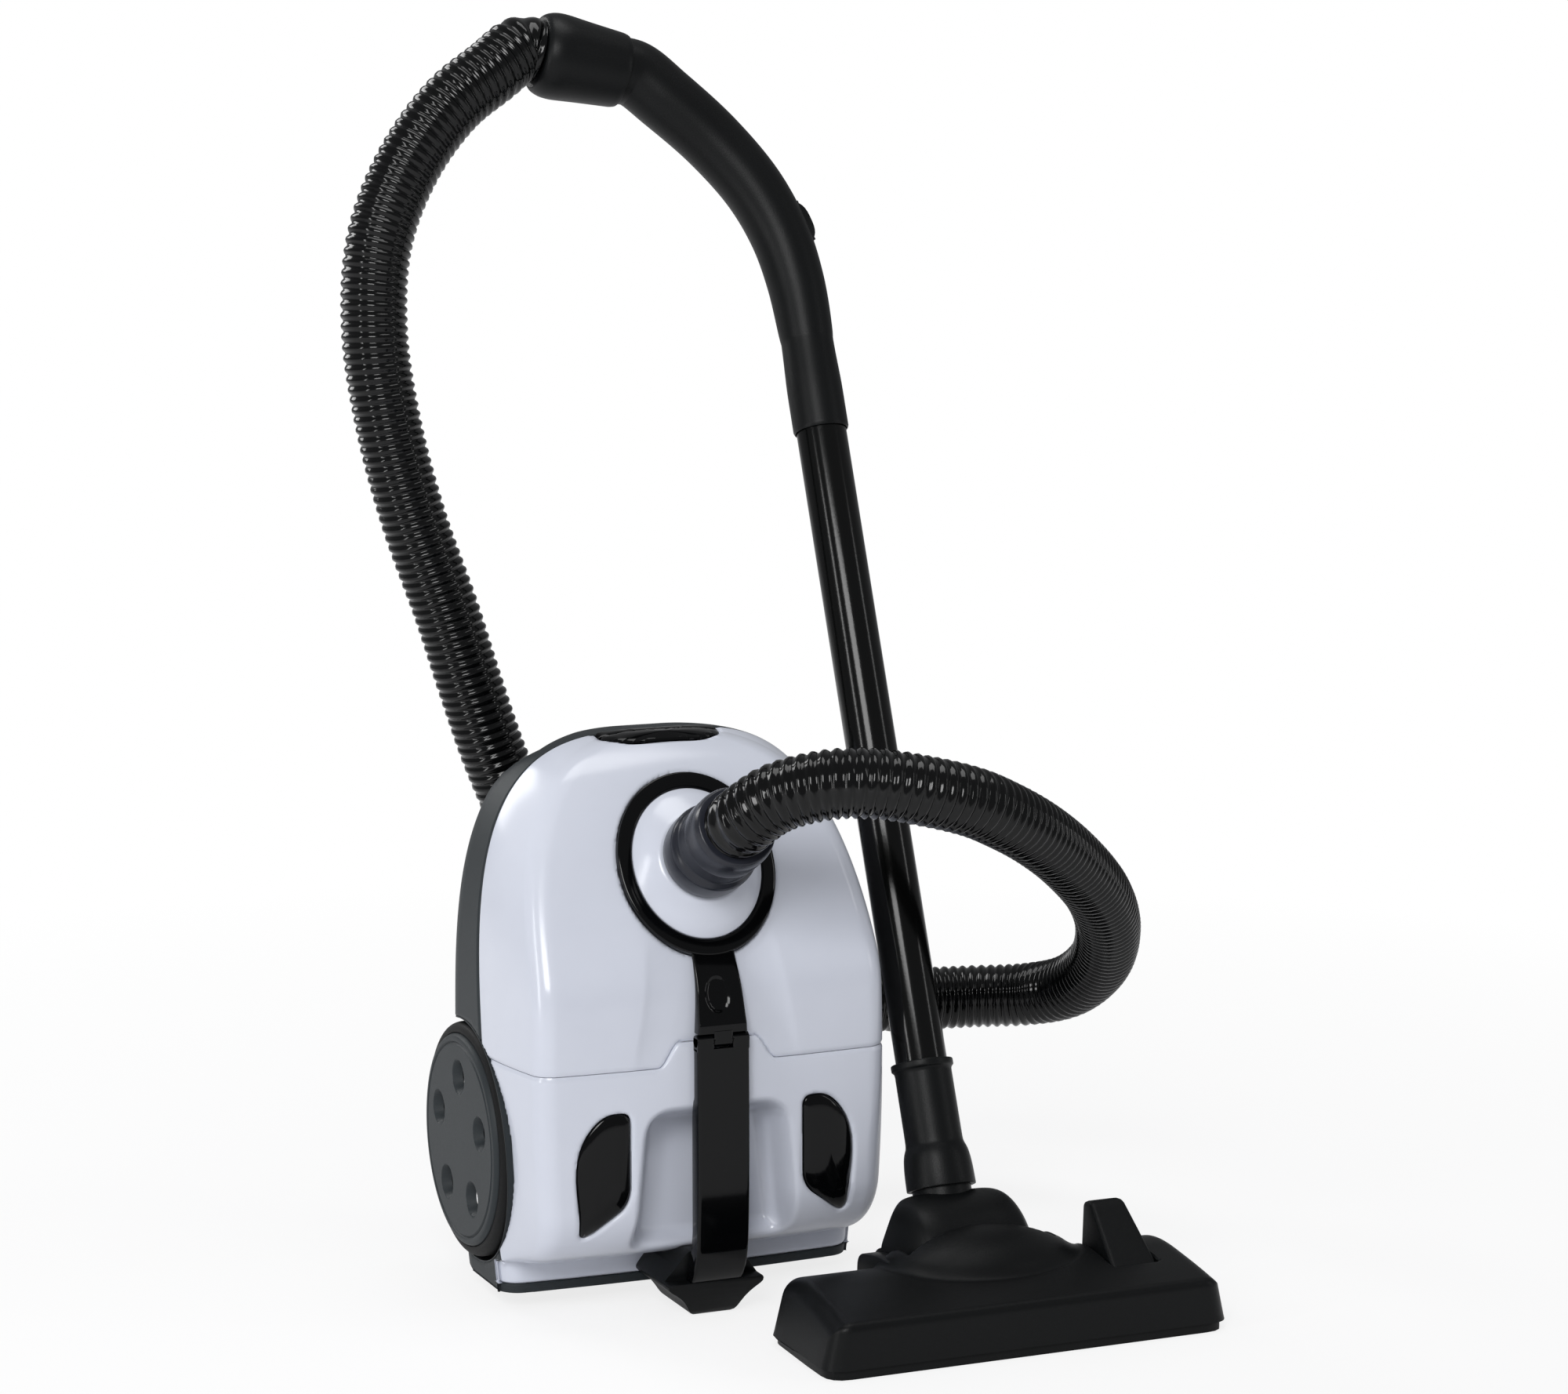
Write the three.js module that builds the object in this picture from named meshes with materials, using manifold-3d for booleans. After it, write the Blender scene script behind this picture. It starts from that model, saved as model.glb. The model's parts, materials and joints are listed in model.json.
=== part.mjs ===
// Canister vacuum cleaner, parked upright on its rear end, with hose, curved grip, wand and floor tool.
// Millimetres, +Z up. The top cover faces -Y, and the origin is the middle of the front foot's sole.
import * as THREE from 'three';
import { mergeVertices } from 'three/addons/utils/BufferGeometryUtils.js';
import Module from 'manifold-3d';

const wasm = await Module();
wasm.setup();

// ---------------------------------------------------------------- driving dimensions
const FIT = 0.3; // gap between parts that touch
const RUN = 0.6; // running clearance round parts that move

const BODY_WIDTH = 250; // across the housing
const BODY_TOP = 352; // height of the nose above the floor
const BODY_BOTTOM = 11; // height of the rear wall above the floor
const ARCH_FROM = 150; // the sides arch over above this height
const ARCH_POWER = 3.3;
const BASE_TUCK = 8; // how far the sides draw in at the rear
const FACE_Y = -35; // flat front of the top cover
const SLOPE_FROM = 210; // the cover slopes back above this height
const SLOPE = 0.52;
const NOSE_FROM = 325; // the nose rounds over above this height
const NOSE_CURL = 0.02;
const HEEL_TOP = 76; // the rear cover curls under below this height
const HEEL_FOOT = 32; // and drops straight again below this one
const HEEL_DEPTH = 60;
const CREASE_IN = 14; // from the side to the crease of the cover
const SEAM_Y = 45; // seam between the cover and the lower housing
const SEAM_LEAN = 0.13;
const BACK_Y = 120; // underside of the lower housing
const BACK_RADIUS = 32;
const BACK_CURL_FROM = 312; // the underside rounds up to the nose above this height
const BACK_CURL = 0.023;
const WALL = 2.6;

const FINE = 32; // facets round large, medium and small turned shapes
const ROUND = 24;
const SMALL = 12;

const PARTING_Z = 160; // lid above, rear cover below
const TAB_RISE = 15; // raised tongue of the parting line
const TAB_TOP = 25; // half width of the tongue at its top
const TAB_FOOT = 38;
const BASE_STRIP = 6; // dark strip under the rear cover

const PORT_Y = 0; // suction port, on the lid's face
const PORT_Z = 278;
const PORT_TILT = 27.5; // degrees above level
const RING_RADIUS = 51; // half width across
const RING_STRETCH = 1.157; // the ring is this much longer up the slope
const RING_BAND = 9;
const RING_DEPTH = 3.6;
const RING_PROUD = 1.4;
const DOME_RISE = 13;
const SOCKET_RADIUS = 26;
const SPIGOT_BORE = 17;

const STRAP_WIDTH = 34;
const STRAP_NECK = 27; // width where the strap meets the ring
const STRAP_FRONT = -43;
const HINGE_Z = 176;
const HINGE_BARREL = 4;
const HINGE_PIN = 1.6;

const GRIP_RECESS_TOP = 134;
const GRIP_RECESS_FOOT = 41;
const GRIP_RECESS_HALF = 46;
const GRIP_RECESS_FLARE = 9;
const GRIP_RECESS_DEPTH = 30;
const HANDLE_THICKNESS = 11;
const FOOT_SEAT = 23; // the handle's lower end stands on the foot here

const WHEEL_RADIUS = 73.5;
const WHEEL_Y = 80;
const WHEEL_Z = 98.5;
const WHEEL_FACE_X = BODY_WIDTH / 2 + 3; // the hub caps stand just proud of the sides
const WHEEL_WIDTH = 24;
const TYRE_DEPTH = 7;
const WHEEL_HOLES = 5;
const WHEEL_HOLE_RADIUS = 10.5;
const WHEEL_HOLE_CIRCLE = 40;
const AXLE_RADIUS = 4;
const WELL_X = BODY_WIDTH / 2 - 24; // floor of each wheel arch
const WELL_WALL_X = WELL_X - 2.5; // inner face of the wall behind each wheel

const CASTER_Z = 292;
const CASTER_RADIUS = 20;
const CASTER_REACH = WHEEL_Y + WHEEL_RADIUS; // plane on which the wheels and caster roll

const TUBE_RADIUS = 16.2;
const TUBE_WALL = 1.2;
const WAND_X = BODY_WIDTH / 2 + 16.5; // the parked wand passes beside the housing
const WAND_LEAN = 22.1; // degrees back from upright
const NECK_Y = -71.6; // pivot of the floor tool's neck
const NECK_Z = 28;
const TUBE_FROM = 100; // distances up the wand axis from the neck pivot
const TUBE_TO = 566;

const HOSE_RADIUS = 21.5;
const TOOL_WIDTH = 268;
const TOOL_LEFT = WAND_X + 0.5 - TOOL_WIDTH / 2;
const TOOL_RIGHT = TOOL_LEFT + TOOL_WIDTH;
const TOOL_FRONT = -182;
const TOOL_BACK = -67;
const TOOL_HEIGHT = 44;

// ---------------------------------------------------------------- materials
function finish(colour, roughness, metalness = 0) {
  return new THREE.MeshStandardMaterial({ color: colour, roughness, metalness });
}
const white = finish('#ccd0e2', 0.22);
const charcoal = finish('#2b2e30', 0.6);
const glossBlack = finish('#08090a', 0.12);
const matteBlack = finish('#141516', 0.55);
const cuffGrey = finish('#2c2f36', 0.35);
const tubeBlack = finish('#0a0b0b', 0.15, 0.3);
const rubber = finish('#17181a', 0.85);
const steel = finish('#a8adb2', 0.35, 1);
const paper = finish('#d8c9a6', 0.9);
const foam = finish('#3a3d40', 0.95);
const motorGrey = finish('#6b7074', 0.45, 0.6);
const bristle = finish('#1c1c1e', 0.9);

// ---------------------------------------------------------------- solids
const V3 = (x, y, z) => new THREE.Vector3(x, y, z);
const V2 = (x, y) => new THREE.Vector2(x, y);
const rad = THREE.MathUtils.degToRad;

function toSolid(geometry) {
  const bare = geometry.clone();
  bare.deleteAttribute('normal');
  bare.deleteAttribute('uv');
  const merged = mergeVertices(bare, 1e-4);
  const vertProperties = new Float32Array(merged.attributes.position.array);
  const triVerts = new Uint32Array(merged.index.array);
  return new wasm.Manifold(new wasm.Mesh({ numProp: 3, vertProperties, triVerts }));
}

function toGeometry(solid) {
  const cut = solid.getMesh();
  const geometry = new THREE.BufferGeometry();
  geometry.setAttribute('position', new THREE.BufferAttribute(new Float32Array(cut.vertProperties), 3));
  geometry.setIndex(new THREE.BufferAttribute(new Uint32Array(cut.triVerts), 1));
  return geometry;
}

const model = new THREE.Group();

function add(name, solid, material) {
  const geometry = toGeometry(solid);
  geometry.computeVertexNormals();
  const mesh = new THREE.Mesh(geometry, material);
  mesh.name = name;
  model.add(mesh);
  return mesh;
}

const union = (...solids) => solids.reduce((all, next) => all.add(next));

const extruded = (shape, depth, segments) =>
  new THREE.ExtrudeGeometry(shape, { depth, bevelEnabled: false, curveSegments: segments });

// Prisms: an outline drawn in two axes, pulled along the third.
function prismXY(shape, z0, z1, segments = 6) {
  return toSolid(extruded(shape, z1 - z0, segments).translate(0, 0, z0));
}

function prismXZ(shape, y0, y1, segments = 6) {
  return toSolid(extruded(shape, y1 - y0, segments).rotateX(Math.PI / 2).translate(0, y1, 0));
}

function prismYZ(shape, x0, x1, segments = 6) {
  const geometry = extruded(shape, x1 - x0, segments);
  const turn = new THREE.Matrix4().makeBasis(V3(0, 1, 0), V3(0, 0, 1), V3(1, 0, 0));
  return toSolid(geometry.applyMatrix4(turn).translate(x0, 0, 0));
}

function block(x0, x1, y0, y1, z0, z1) {
  const geometry = new THREE.BoxGeometry(x1 - x0, y1 - y0, z1 - z0);
  return toSolid(geometry.translate((x0 + x1) / 2, (y0 + y1) / 2, (z0 + z1) / 2));
}

// A frame whose Y axis runs along a given direction from a given point.
function frameAlong(origin, direction) {
  const turn = new THREE.Quaternion().setFromUnitVectors(V3(0, 1, 0), direction.clone().normalize());
  return new THREE.Matrix4().compose(origin, turn, V3(1, 1, 1));
}

// A profile of [radius, distance] pairs turned about an axis; it closes on itself or on the axis.
function revolve(profile, origin, direction, segments = ROUND, shapeIt = (geometry) => geometry) {
  const points = profile.map(([r, d]) => V2(r, d));
  const closesOnAxis = profile[0][0] === 0 && profile[profile.length - 1][0] === 0;
  if (!closesOnAxis) {
    points.push(points[0].clone());
  }
  const place = frameAlong(origin, direction);
  const turn = (outline) => toSolid(shapeIt(new THREE.LatheGeometry(outline, segments)).applyMatrix4(place));
  const solid = turn(points);
  return solid.volume() < 0 ? turn(points.slice().reverse()) : solid;
}

const drum = (radius, origin, direction, from, to, segments = ROUND) =>
  revolve([[0, from], [radius, from], [radius, to], [0, to]], origin, direction, segments);

const pipe = (outer, inner, origin, direction, from, to, segments = ROUND) =>
  revolve([[inner, from], [outer, from], [outer, to], [inner, to]], origin, direction, segments);

// A closed outline from points, with every corner rounded by its own radius.
function roundedOutline(corners) {
  const shape = new THREE.Shape();
  const count = corners.length;
  corners.forEach(([x, y, radius = 0], i) => {
    const here = V2(x, y);
    const [px, py] = corners[(i + count - 1) % count];
    const [nx, ny] = corners[(i + 1) % count];
    const back = V2(px, py).sub(here);
    const ahead = V2(nx, ny).sub(here);
    const start = here.clone().add(back.setLength(Math.min(radius, back.length() / 2)));
    const end = here.clone().add(ahead.setLength(Math.min(radius, ahead.length() / 2)));
    if (i === 0) {
      shape.moveTo(start.x, start.y);
    } else {
      shape.lineTo(start.x, start.y);
    }
    if (radius > 0) {
      shape.quadraticCurveTo(here.x, here.y, end.x, end.y);
    }
  });
  shape.closePath();
  return shape;
}

// Sections of equal point counts, skinned in order and capped at both ends.
function loft(sections) {
  const count = sections[0].length;
  const positions = sections.flat().flatMap((p) => [p.x, p.y, p.z]);
  const index = [];
  for (let s = 0; s < sections.length - 1; s += 1) {
    for (let i = 0; i < count; i += 1) {
      const a = s * count + i;
      const b = s * count + ((i + 1) % count);
      index.push(a, b, b + count, a, b + count, a + count);
    }
  }
  const last = (sections.length - 1) * count;
  for (let i = 1; i < count - 1; i += 1) {
    index.push(0, i + 1, i, last, last + i, last + i + 1);
  }
  const geometry = new THREE.BufferGeometry();
  geometry.setAttribute('position', new THREE.BufferAttribute(new Float32Array(positions), 3));
  geometry.setIndex(index);
  return toSolid(geometry);
}

// ---------------------------------------------------------------- housing form
const seamY = (z) => SEAM_Y + SEAM_LEAN * (z - PARTING_Z);

function halfWidth(z, inset) {
  const half = BODY_WIDTH / 2 - inset;
  if (z <= ARCH_FROM) {
    return half - BASE_TUCK * ((ARCH_FROM - z) / (ARCH_FROM - BODY_BOTTOM)) ** 2;
  }
  const rise = Math.min(0.9995, (z - ARCH_FROM) / (BODY_TOP - inset - ARCH_FROM));
  return half * (1 - rise ** ARCH_POWER) ** (1 / ARCH_POWER);
}

function faceY(z, inset) {
  const ramp = 0.5 * (z - SLOPE_FROM + Math.hypot(z - SLOPE_FROM, 12));
  const nose = NOSE_CURL * Math.max(0, z - NOSE_FROM + inset) ** 2;
  const drop = THREE.MathUtils.clamp((HEEL_TOP + inset - z) / (HEEL_TOP - HEEL_FOOT), 0, 1);
  const heel = HEEL_DEPTH * (1 - Math.sqrt(1 - drop ** 2));
  return FACE_Y + inset * 1.12 + SLOPE * ramp + nose + heel;
}

function housingSection(z, inset) {
  const w = halfWidth(z, inset);
  const f = faceY(z, inset);
  const s = Math.max(seamY(z), f + 13);
  const curl = BACK_CURL * Math.max(0, z - BACK_CURL_FROM + inset) ** 2;
  const crease = w - Math.min(CREASE_IN, 0.3 * w);
  const r = Math.min(BACK_RADIUS, 0.6 * w);
  const b = Math.max(BACK_Y - inset - curl, s + r + 2);
  const half = [
    [crease * 0.55, f + 1],
    [crease - 5, f + 3],
    [crease, f + 5.5],
    [crease + 3, f + 11],
    [(crease + 3 + w) / 2 + 1.5, (f + 11 + s) / 2],
    [w, s],
    [w, b - r],
    [w - 0.29 * r, b - 0.29 * r],
    [w - r, b],
  ];
  const right = half.map(([x, y]) => V3(x, y, z));
  const left = half.map(([x, y]) => V3(-x, y, z)).reverse();
  return [V3(0, f, z), ...right, ...left];
}

function housing(inset) {
  const bottom = BODY_BOTTOM + inset;
  const top = BODY_TOP - inset;
  const heel = [0, 3, 8, 16, 27, 44].map((rise) => HEEL_FOOT + inset + rise);
  const nose = [46, 27, 14, 6, 1.5].map((drop) => top - drop);
  const heights = [bottom, ...heel, 126, 172, 206, 220, 240, 270, ...nose, top];
  return loft(heights.map((z) => housingSection(z, inset)));
}

const outer = housing(0);
const inner = housing(WALL);
const lining = housing(WALL + FIT);
const shell = outer.subtract(inner);

const FAR = 400;
const inFrontOfSeam = (gap) =>
  prismYZ(
    roundedOutline([
      [-FAR, -FAR],
      [seamY(-FAR) - gap, -FAR],
      [seamY(FAR * 2) - gap, FAR * 2],
      [-FAR, FAR * 2],
    ]),
    -FAR,
    FAR,
  );

// The parting line between lid and rear cover climbs over a tongue in the middle.
function abovePartingLine(gap) {
  const z = PARTING_Z + gap;
  return prismXZ(
    roundedOutline([
      [-FAR, z],
      [-TAB_FOOT - gap, z, 4],
      [-TAB_TOP - gap, z + TAB_RISE, 4],
      [TAB_TOP + gap, z + TAB_RISE, 4],
      [TAB_FOOT + gap, z, 4],
      [FAR, z],
      [FAR, FAR * 2],
      [-FAR, FAR * 2],
    ]),
    -FAR,
    FAR,
    3,
  );
}

// ---------------------------------------------------------------- suction port frame
const portOut = V3(0, -Math.cos(rad(PORT_TILT)), Math.sin(rad(PORT_TILT)));
const portPoint = V3(0, PORT_Y, PORT_Z);

// Turned shapes round the port are round at the socket and oval, taller than wide, at the ring.
const OVAL_INSIDE = 30;
const OVAL_OUTSIDE = 38;
function ovalled(geometry) {
  const places = geometry.attributes.position;
  for (let i = 0; i < places.count; i += 1) {
    const radius = Math.hypot(places.getX(i), places.getZ(i));
    const share = THREE.MathUtils.clamp((radius - OVAL_INSIDE) / (OVAL_OUTSIDE - OVAL_INSIDE), 0, 1);
    places.setZ(i, places.getZ(i) * (1 + (RING_STRETCH - 1) * share));
  }
  return geometry;
}
const ovalPipe = (outer, inner, from, to, segments) =>
  revolve([[inner, from], [outer, from], [outer, to], [inner, to]], portPoint, portOut, segments, ovalled);
const ovalDrum = (radius, from, to, segments) =>
  revolve([[0, from], [radius, from], [radius, to], [0, to]], portPoint, portOut, segments, ovalled);

// ---------------------------------------------------------------- strap and trim ring
function strapShape(halfTop, halfFoot, zTop, zFoot) {
  return roundedOutline([
    [-halfFoot, zFoot],
    [halfFoot, zFoot],
    [halfTop, zTop],
    [-halfTop, zTop],
  ]);
}

const barrelAt = V3(0, STRAP_FRONT + HINGE_BARREL, HINGE_Z);
const acrossX = V3(1, 0, 0);
const KNUCKLE = 6; // half width of the lid's knuckle
const strapHalf = STRAP_WIDTH / 2;

function lidTrim() {
  const band = ovalPipe(RING_RADIUS, RING_RADIUS - RING_BAND, RING_PROUD - RING_DEPTH, RING_PROUD, FINE);
  const ringFoot = (RING_RADIUS - RING_BAND / 2) * RING_STRETCH;
  const ringFootZ = PORT_Z - ringFoot * Math.cos(rad(PORT_TILT));
  const strapTop = ringFootZ + 2;
  const strapFront = new THREE.Shape();
  strapFront.moveTo(STRAP_FRONT, HINGE_Z + HINGE_BARREL + FIT);
  strapFront.lineTo(STRAP_FRONT + 1.5, SLOPE_FROM - 12);
  strapFront.lineTo(faceY(strapTop, 0) - RING_PROUD, strapTop);
  strapFront.lineTo(faceY(strapTop, 0) + 1, strapTop);
  strapFront.lineTo(FACE_Y + 3, SLOPE_FROM - 12);
  strapFront.lineTo(FACE_Y + 3, HINGE_Z + HINGE_BARREL + FIT);
  strapFront.closePath();
  const strap = prismYZ(strapFront, -strapHalf, strapHalf).intersect(
    prismXZ(strapShape(STRAP_NECK / 2, strapHalf, strapTop + 1, PARTING_Z), -FAR, FAR),
  );
  const onFace = strap.subtract(housing(-FIT));
  const knuckle = union(
    drum(HINGE_BARREL, barrelAt, acrossX, -KNUCKLE, KNUCKLE, SMALL),
    block(-KNUCKLE, KNUCKLE, STRAP_FRONT, FACE_Y - FIT, HINGE_Z, HINGE_Z + HINGE_BARREL + 3),
  );
  const bore = drum(HINGE_PIN + FIT / 2, barrelAt, acrossX, -FAR, FAR, SMALL);
  const thumbDimple = drum(7.5, V3(-2, STRAP_FRONT - 9, SLOPE_FROM - 6), V3(0, 1, 0), 0, 11.5, SMALL);
  return union(band, onFace, knuckle).subtract(bore).subtract(thumbDimple);
}

const pocketFloor = RING_PROUD - RING_DEPTH - FIT;
const ringPocket = ovalPipe(RING_RADIUS + FIT, RING_RADIUS - RING_BAND - FIT, pocketFloor, 40, 36);

// ---------------------------------------------------------------- latch in the nose
const LATCH_HALF = 40;
const LATCH_FROM = 47;
const LATCH_TO = 62;
function latchOutline(gap) {
  return roundedOutline([
    [-LATCH_HALF - gap, LATCH_TO + gap, 3],
    [-LATCH_HALF - gap, LATCH_FROM + 6 - gap, 4],
    [-LATCH_HALF + 14, LATCH_FROM - gap, 8],
    [LATCH_HALF - 14, LATCH_FROM - gap, 8],
    [LATCH_HALF + gap, LATCH_FROM + 6 - gap, 4],
    [LATCH_HALF + gap, LATCH_TO + gap, 3],
  ]);
}

function lidLatch() {
  const plate = prismXY(latchOutline(0), 300, FAR, 4).intersect(housing(-0.6)).subtract(housing(4));
  const hook = block(-9, 9, LATCH_TO - 6, LATCH_TO, 318, 350).intersect(inner);
  return union(plate, hook);
}

// ---------------------------------------------------------------- lid
function lid() {
  const skin = shell.intersect(inFrontOfSeam(FIT / 2)).intersect(abovePartingLine(FIT / 2));
  const boss = ovalPipe(RING_RADIUS + 4, RING_RADIUS - RING_BAND - 4, -9, 0, FINE).intersect(outer);
  const dome = revolve(
    [
      [SPIGOT_BORE + 3, -22],
      [RING_RADIUS - RING_BAND - FIT, -6],
      [RING_RADIUS - RING_BAND - FIT, RING_PROUD],
      [SOCKET_RADIUS + 9, DOME_RISE * 0.62],
      [SOCKET_RADIUS + 2.5, DOME_RISE],
      [SOCKET_RADIUS - 1, DOME_RISE],
      [SOCKET_RADIUS - 1, 2],
      [SPIGOT_BORE + 3, 0],
    ],
    portPoint,
    portOut,
    FINE,
    ovalled,
  );
  const hole = ovalDrum(RING_RADIUS - RING_BAND - 2, -30, 30, FINE);
  const spigot = pipe(SPIGOT_BORE + 5, SPIGOT_BORE, portPoint, portOut, -24, 2, ROUND);
  const cover = union(skin.subtract(hole), boss).subtract(ringPocket);
  const wells = union(...[-1, 1].map((side) => wheelWell(side, WHEEL_RADIUS + 3, WELL_X, FAR)));
  return union(cover, dome, spigot).subtract(prismXY(latchOutline(RUN), 300, FAR, 4)).subtract(wells);
}

// ---------------------------------------------------------------- rear cover
function recessOutline(grow) {
  const half = GRIP_RECESS_HALF + grow;
  const foot = GRIP_RECESS_FOOT - grow;
  return roundedOutline([
    [-half - GRIP_RECESS_FLARE, foot, 16],
    [half + GRIP_RECESS_FLARE, foot, 16],
    [half, GRIP_RECESS_TOP + grow, 18],
    [-half, GRIP_RECESS_TOP + grow, 18],
  ]);
}

const PEDAL_MIDDLE = BODY_WIDTH / 2 - 50;
// Leaf-shaped foot pedal: side is -1 on the left and 1 on the right.
function pedalOutline(side, gap) {
  const inboard = PEDAL_MIDDLE - 18 - gap;
  const outboard = PEDAL_MIDDLE + 18 + gap;
  const corners = [
    [inboard, 134 + gap, 7],
    [inboard, 78 - gap, 10],
    [inboard + 27, 57 - gap * 1.6, 7],
    [outboard - 5, 58 - gap * 1.4, 5],
    [outboard, 110, 22],
    [outboard - 17, 134 + gap, 14],
  ];
  const placed = corners.map(([x, z, r]) => [side * x, z, r]);
  return roundedOutline(side < 0 ? placed.reverse() : placed);
}

const PEDAL_TRAVEL = 4;
function pedal(side) {
  const cap = prismXZ(pedalOutline(side, 0), -FAR, FACE_Y + 14, 5).intersect(housing(-1.4));
  const stemX = side * PEDAL_MIDDLE;
  const stem = block(stemX - 6, stemX + 6, FACE_Y + 13, FACE_Y + 26, 88, 104);
  return union(cap, stem);
}

const wheelWell = (side, radius, from, to) =>
  drum(radius, V3(0, WHEEL_Y, WHEEL_Z), V3(side, 0, 0), from, to, FINE);

function rearCover() {
  const front = inFrontOfSeam(FIT / 2).subtract(abovePartingLine(-FIT / 2));
  const aboveStrip = block(-FAR, FAR, -FAR, FAR, BODY_BOTTOM + BASE_STRIP, FAR);
  const skin = shell.intersect(front).intersect(aboveStrip);
  const recessFloor = FACE_Y + GRIP_RECESS_DEPTH;
  const cup = prismXZ(recessOutline(WALL), -FAR, recessFloor + WALL).intersect(outer).intersect(aboveStrip);
  const hollow = prismXZ(recessOutline(0), -FAR, recessFloor);
  let cover = union(skin, cup).subtract(hollow);
  [-1, 1].forEach((side) => {
    cover = cover.subtract(prismXZ(pedalOutline(side, RUN), -FAR, FACE_Y + 20, 5));
    cover = cover.subtract(wheelWell(side, WHEEL_RADIUS + 3, WELL_X, FAR));
  });
  return cover;
}

// ---------------------------------------------------------------- carrying handle and front foot
function carryHandle() {
  const top = HINGE_Z - HINGE_BARREL - FIT;
  const inside = STRAP_FRONT + HANDLE_THICKNESS;
  const rail = new THREE.Shape();
  rail.moveTo(STRAP_FRONT, top);
  rail.bezierCurveTo(STRAP_FRONT - 1, 120, STRAP_FRONT - 1, 60, STRAP_FRONT + 2, 44);
  rail.quadraticCurveTo(STRAP_FRONT + 5, 30, STRAP_FRONT + 12, FOOT_SEAT);
  rail.lineTo(STRAP_FRONT + 22, FOOT_SEAT);
  rail.quadraticCurveTo(inside + 3, 34, inside, 56);
  rail.lineTo(inside, GRIP_RECESS_TOP - 6);
  rail.quadraticCurveTo(inside, GRIP_RECESS_TOP + 1, FACE_Y + 1, GRIP_RECESS_TOP + 4);
  rail.lineTo(FACE_Y + 1, top);
  rail.closePath();
  const strap = prismYZ(rail, -strapHalf, strapHalf, 8);
  const knuckles = [-1, 1].map((side) => {
    const from = side < 0 ? -strapHalf : KNUCKLE + FIT;
    const to = side < 0 ? -KNUCKLE - FIT : strapHalf;
    return union(
      drum(HINGE_BARREL, barrelAt, acrossX, from, to, SMALL),
      block(from, to, STRAP_FRONT, FACE_Y - FIT, HINGE_Z - HINGE_BARREL - 3, HINGE_Z),
    );
  });
  const bore = drum(HINGE_PIN + FIT / 2, barrelAt, acrossX, -FAR, FAR, SMALL);
  const clear = housing(-FIT).intersect(block(-FAR, FAR, -FAR, FAR, GRIP_RECESS_TOP, FAR));
  return union(strap, ...knuckles).subtract(clear).subtract(bore);
}

function frontFoot() {
  const side = roundedOutline([
    [-24, 0, 4],
    [24, 0, 3],
    [34, 20],
    [20, 60],
    [STRAP_FRONT + 15.5, 46, 3],
    [STRAP_FRONT + 22 + FIT, FOOT_SEAT - FIT],
    [STRAP_FRONT + 12, FOOT_SEAT - FIT],
    [STRAP_FRONT + 14, 12, 4],
  ]);
  const half = [
    [14, 0, 4],
    [21, 12, 6],
    [33, 20, 4],
    [25, 30, 8],
    [strapHalf, 42, 3],
  ];
  const front = roundedOutline([...half, ...half.map(([x, z, r]) => [-x, z, r]).reverse()]);
  return prismYZ(side, -70, 70, 3).intersect(prismXZ(front, -FAR, FAR, 3)).subtract(housing(-FIT));
}

// ---------------------------------------------------------------- lower housing
const BULKHEAD_Z = 154;
const CASTER_WELL = 30;
function chassis() {
  const strip = block(-FAR, FAR, -FAR, FAR, 0, BODY_BOTTOM + BASE_STRIP - FIT);
  const behind = block(-FAR, FAR, -FAR, FAR, -FAR, FAR).subtract(inFrontOfSeam(-FIT / 2));
  const skin = shell.intersect(union(behind, strip));
  const room = union(lining, outer.intersect(behind));
  const underLid = block(-FAR, FAR, -FAR, FAR, PARTING_Z - 3, FAR).subtract(behind);
  const cupRoom = union(room.subtract(underLid), housing(WALL + 7));
  const bulkhead = room.intersect(block(-FAR, FAR, -FAR, FAR, BULKHEAD_Z, BULKHEAD_Z + 3));
  const intake = drum(INTAKE_RADIUS, motorAt, upZ, 140, 170, ROUND);
  const casterCup = drum(CASTER_WELL + WALL, casterHead, casterAxis, 92, BACK_Y - 1, ROUND).intersect(outer);
  const casterBore = drum(CASTER_WELL, casterHead, casterAxis, 95, FAR, ROUND);
  const casterPivot = drum(4 + FIT, casterHead, casterAxis, 80, FAR, SMALL);
  let body = union(skin, bulkhead.subtract(intake));
  [-1, 1].forEach((side) => {
    const cup = wheelWell(side, WHEEL_RADIUS + 5.6, WELL_WALL_X, FAR).intersect(cupRoom);
    const well = wheelWell(side, WHEEL_RADIUS + 3, WELL_X, FAR);
    const cutter = wheelWell(side, WHEEL_RADIUS + 3, WELL_X, FAR);
    const hub = wheelWell(side, 12, AXLE_FROM - 5, WHEEL_BACK_X - 1 - FIT);
    const axleBore = wheelWell(side, AXLE_RADIUS + FIT / 2, AXLE_FROM - 1, FAR);
    body = union(body.subtract(cutter), cup.subtract(well), hub).subtract(axleBore);
  });
  body = union(body, casterCup).subtract(casterBore).subtract(casterPivot);
  const exhaust = block(EXHAUST.x0, EXHAUST.x1, EXHAUST.y0, EXHAUST.y1, 0, BODY_BOTTOM + 8);
  const glandHole = drum(9 + FIT, glandAt, upZ, 0, 40, ROUND);
  return body.subtract(exhaust).subtract(glandHole);
}

// ---------------------------------------------------------------- wheels
const wheelCentre = V3(0, WHEEL_Y, WHEEL_Z);
const RIM_RADIUS = WHEEL_RADIUS - TYRE_DEPTH;
const WHEEL_BACK_X = WHEEL_FACE_X - WHEEL_WIDTH;
const AXLE_FROM = WELL_WALL_X - 13.5;

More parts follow.
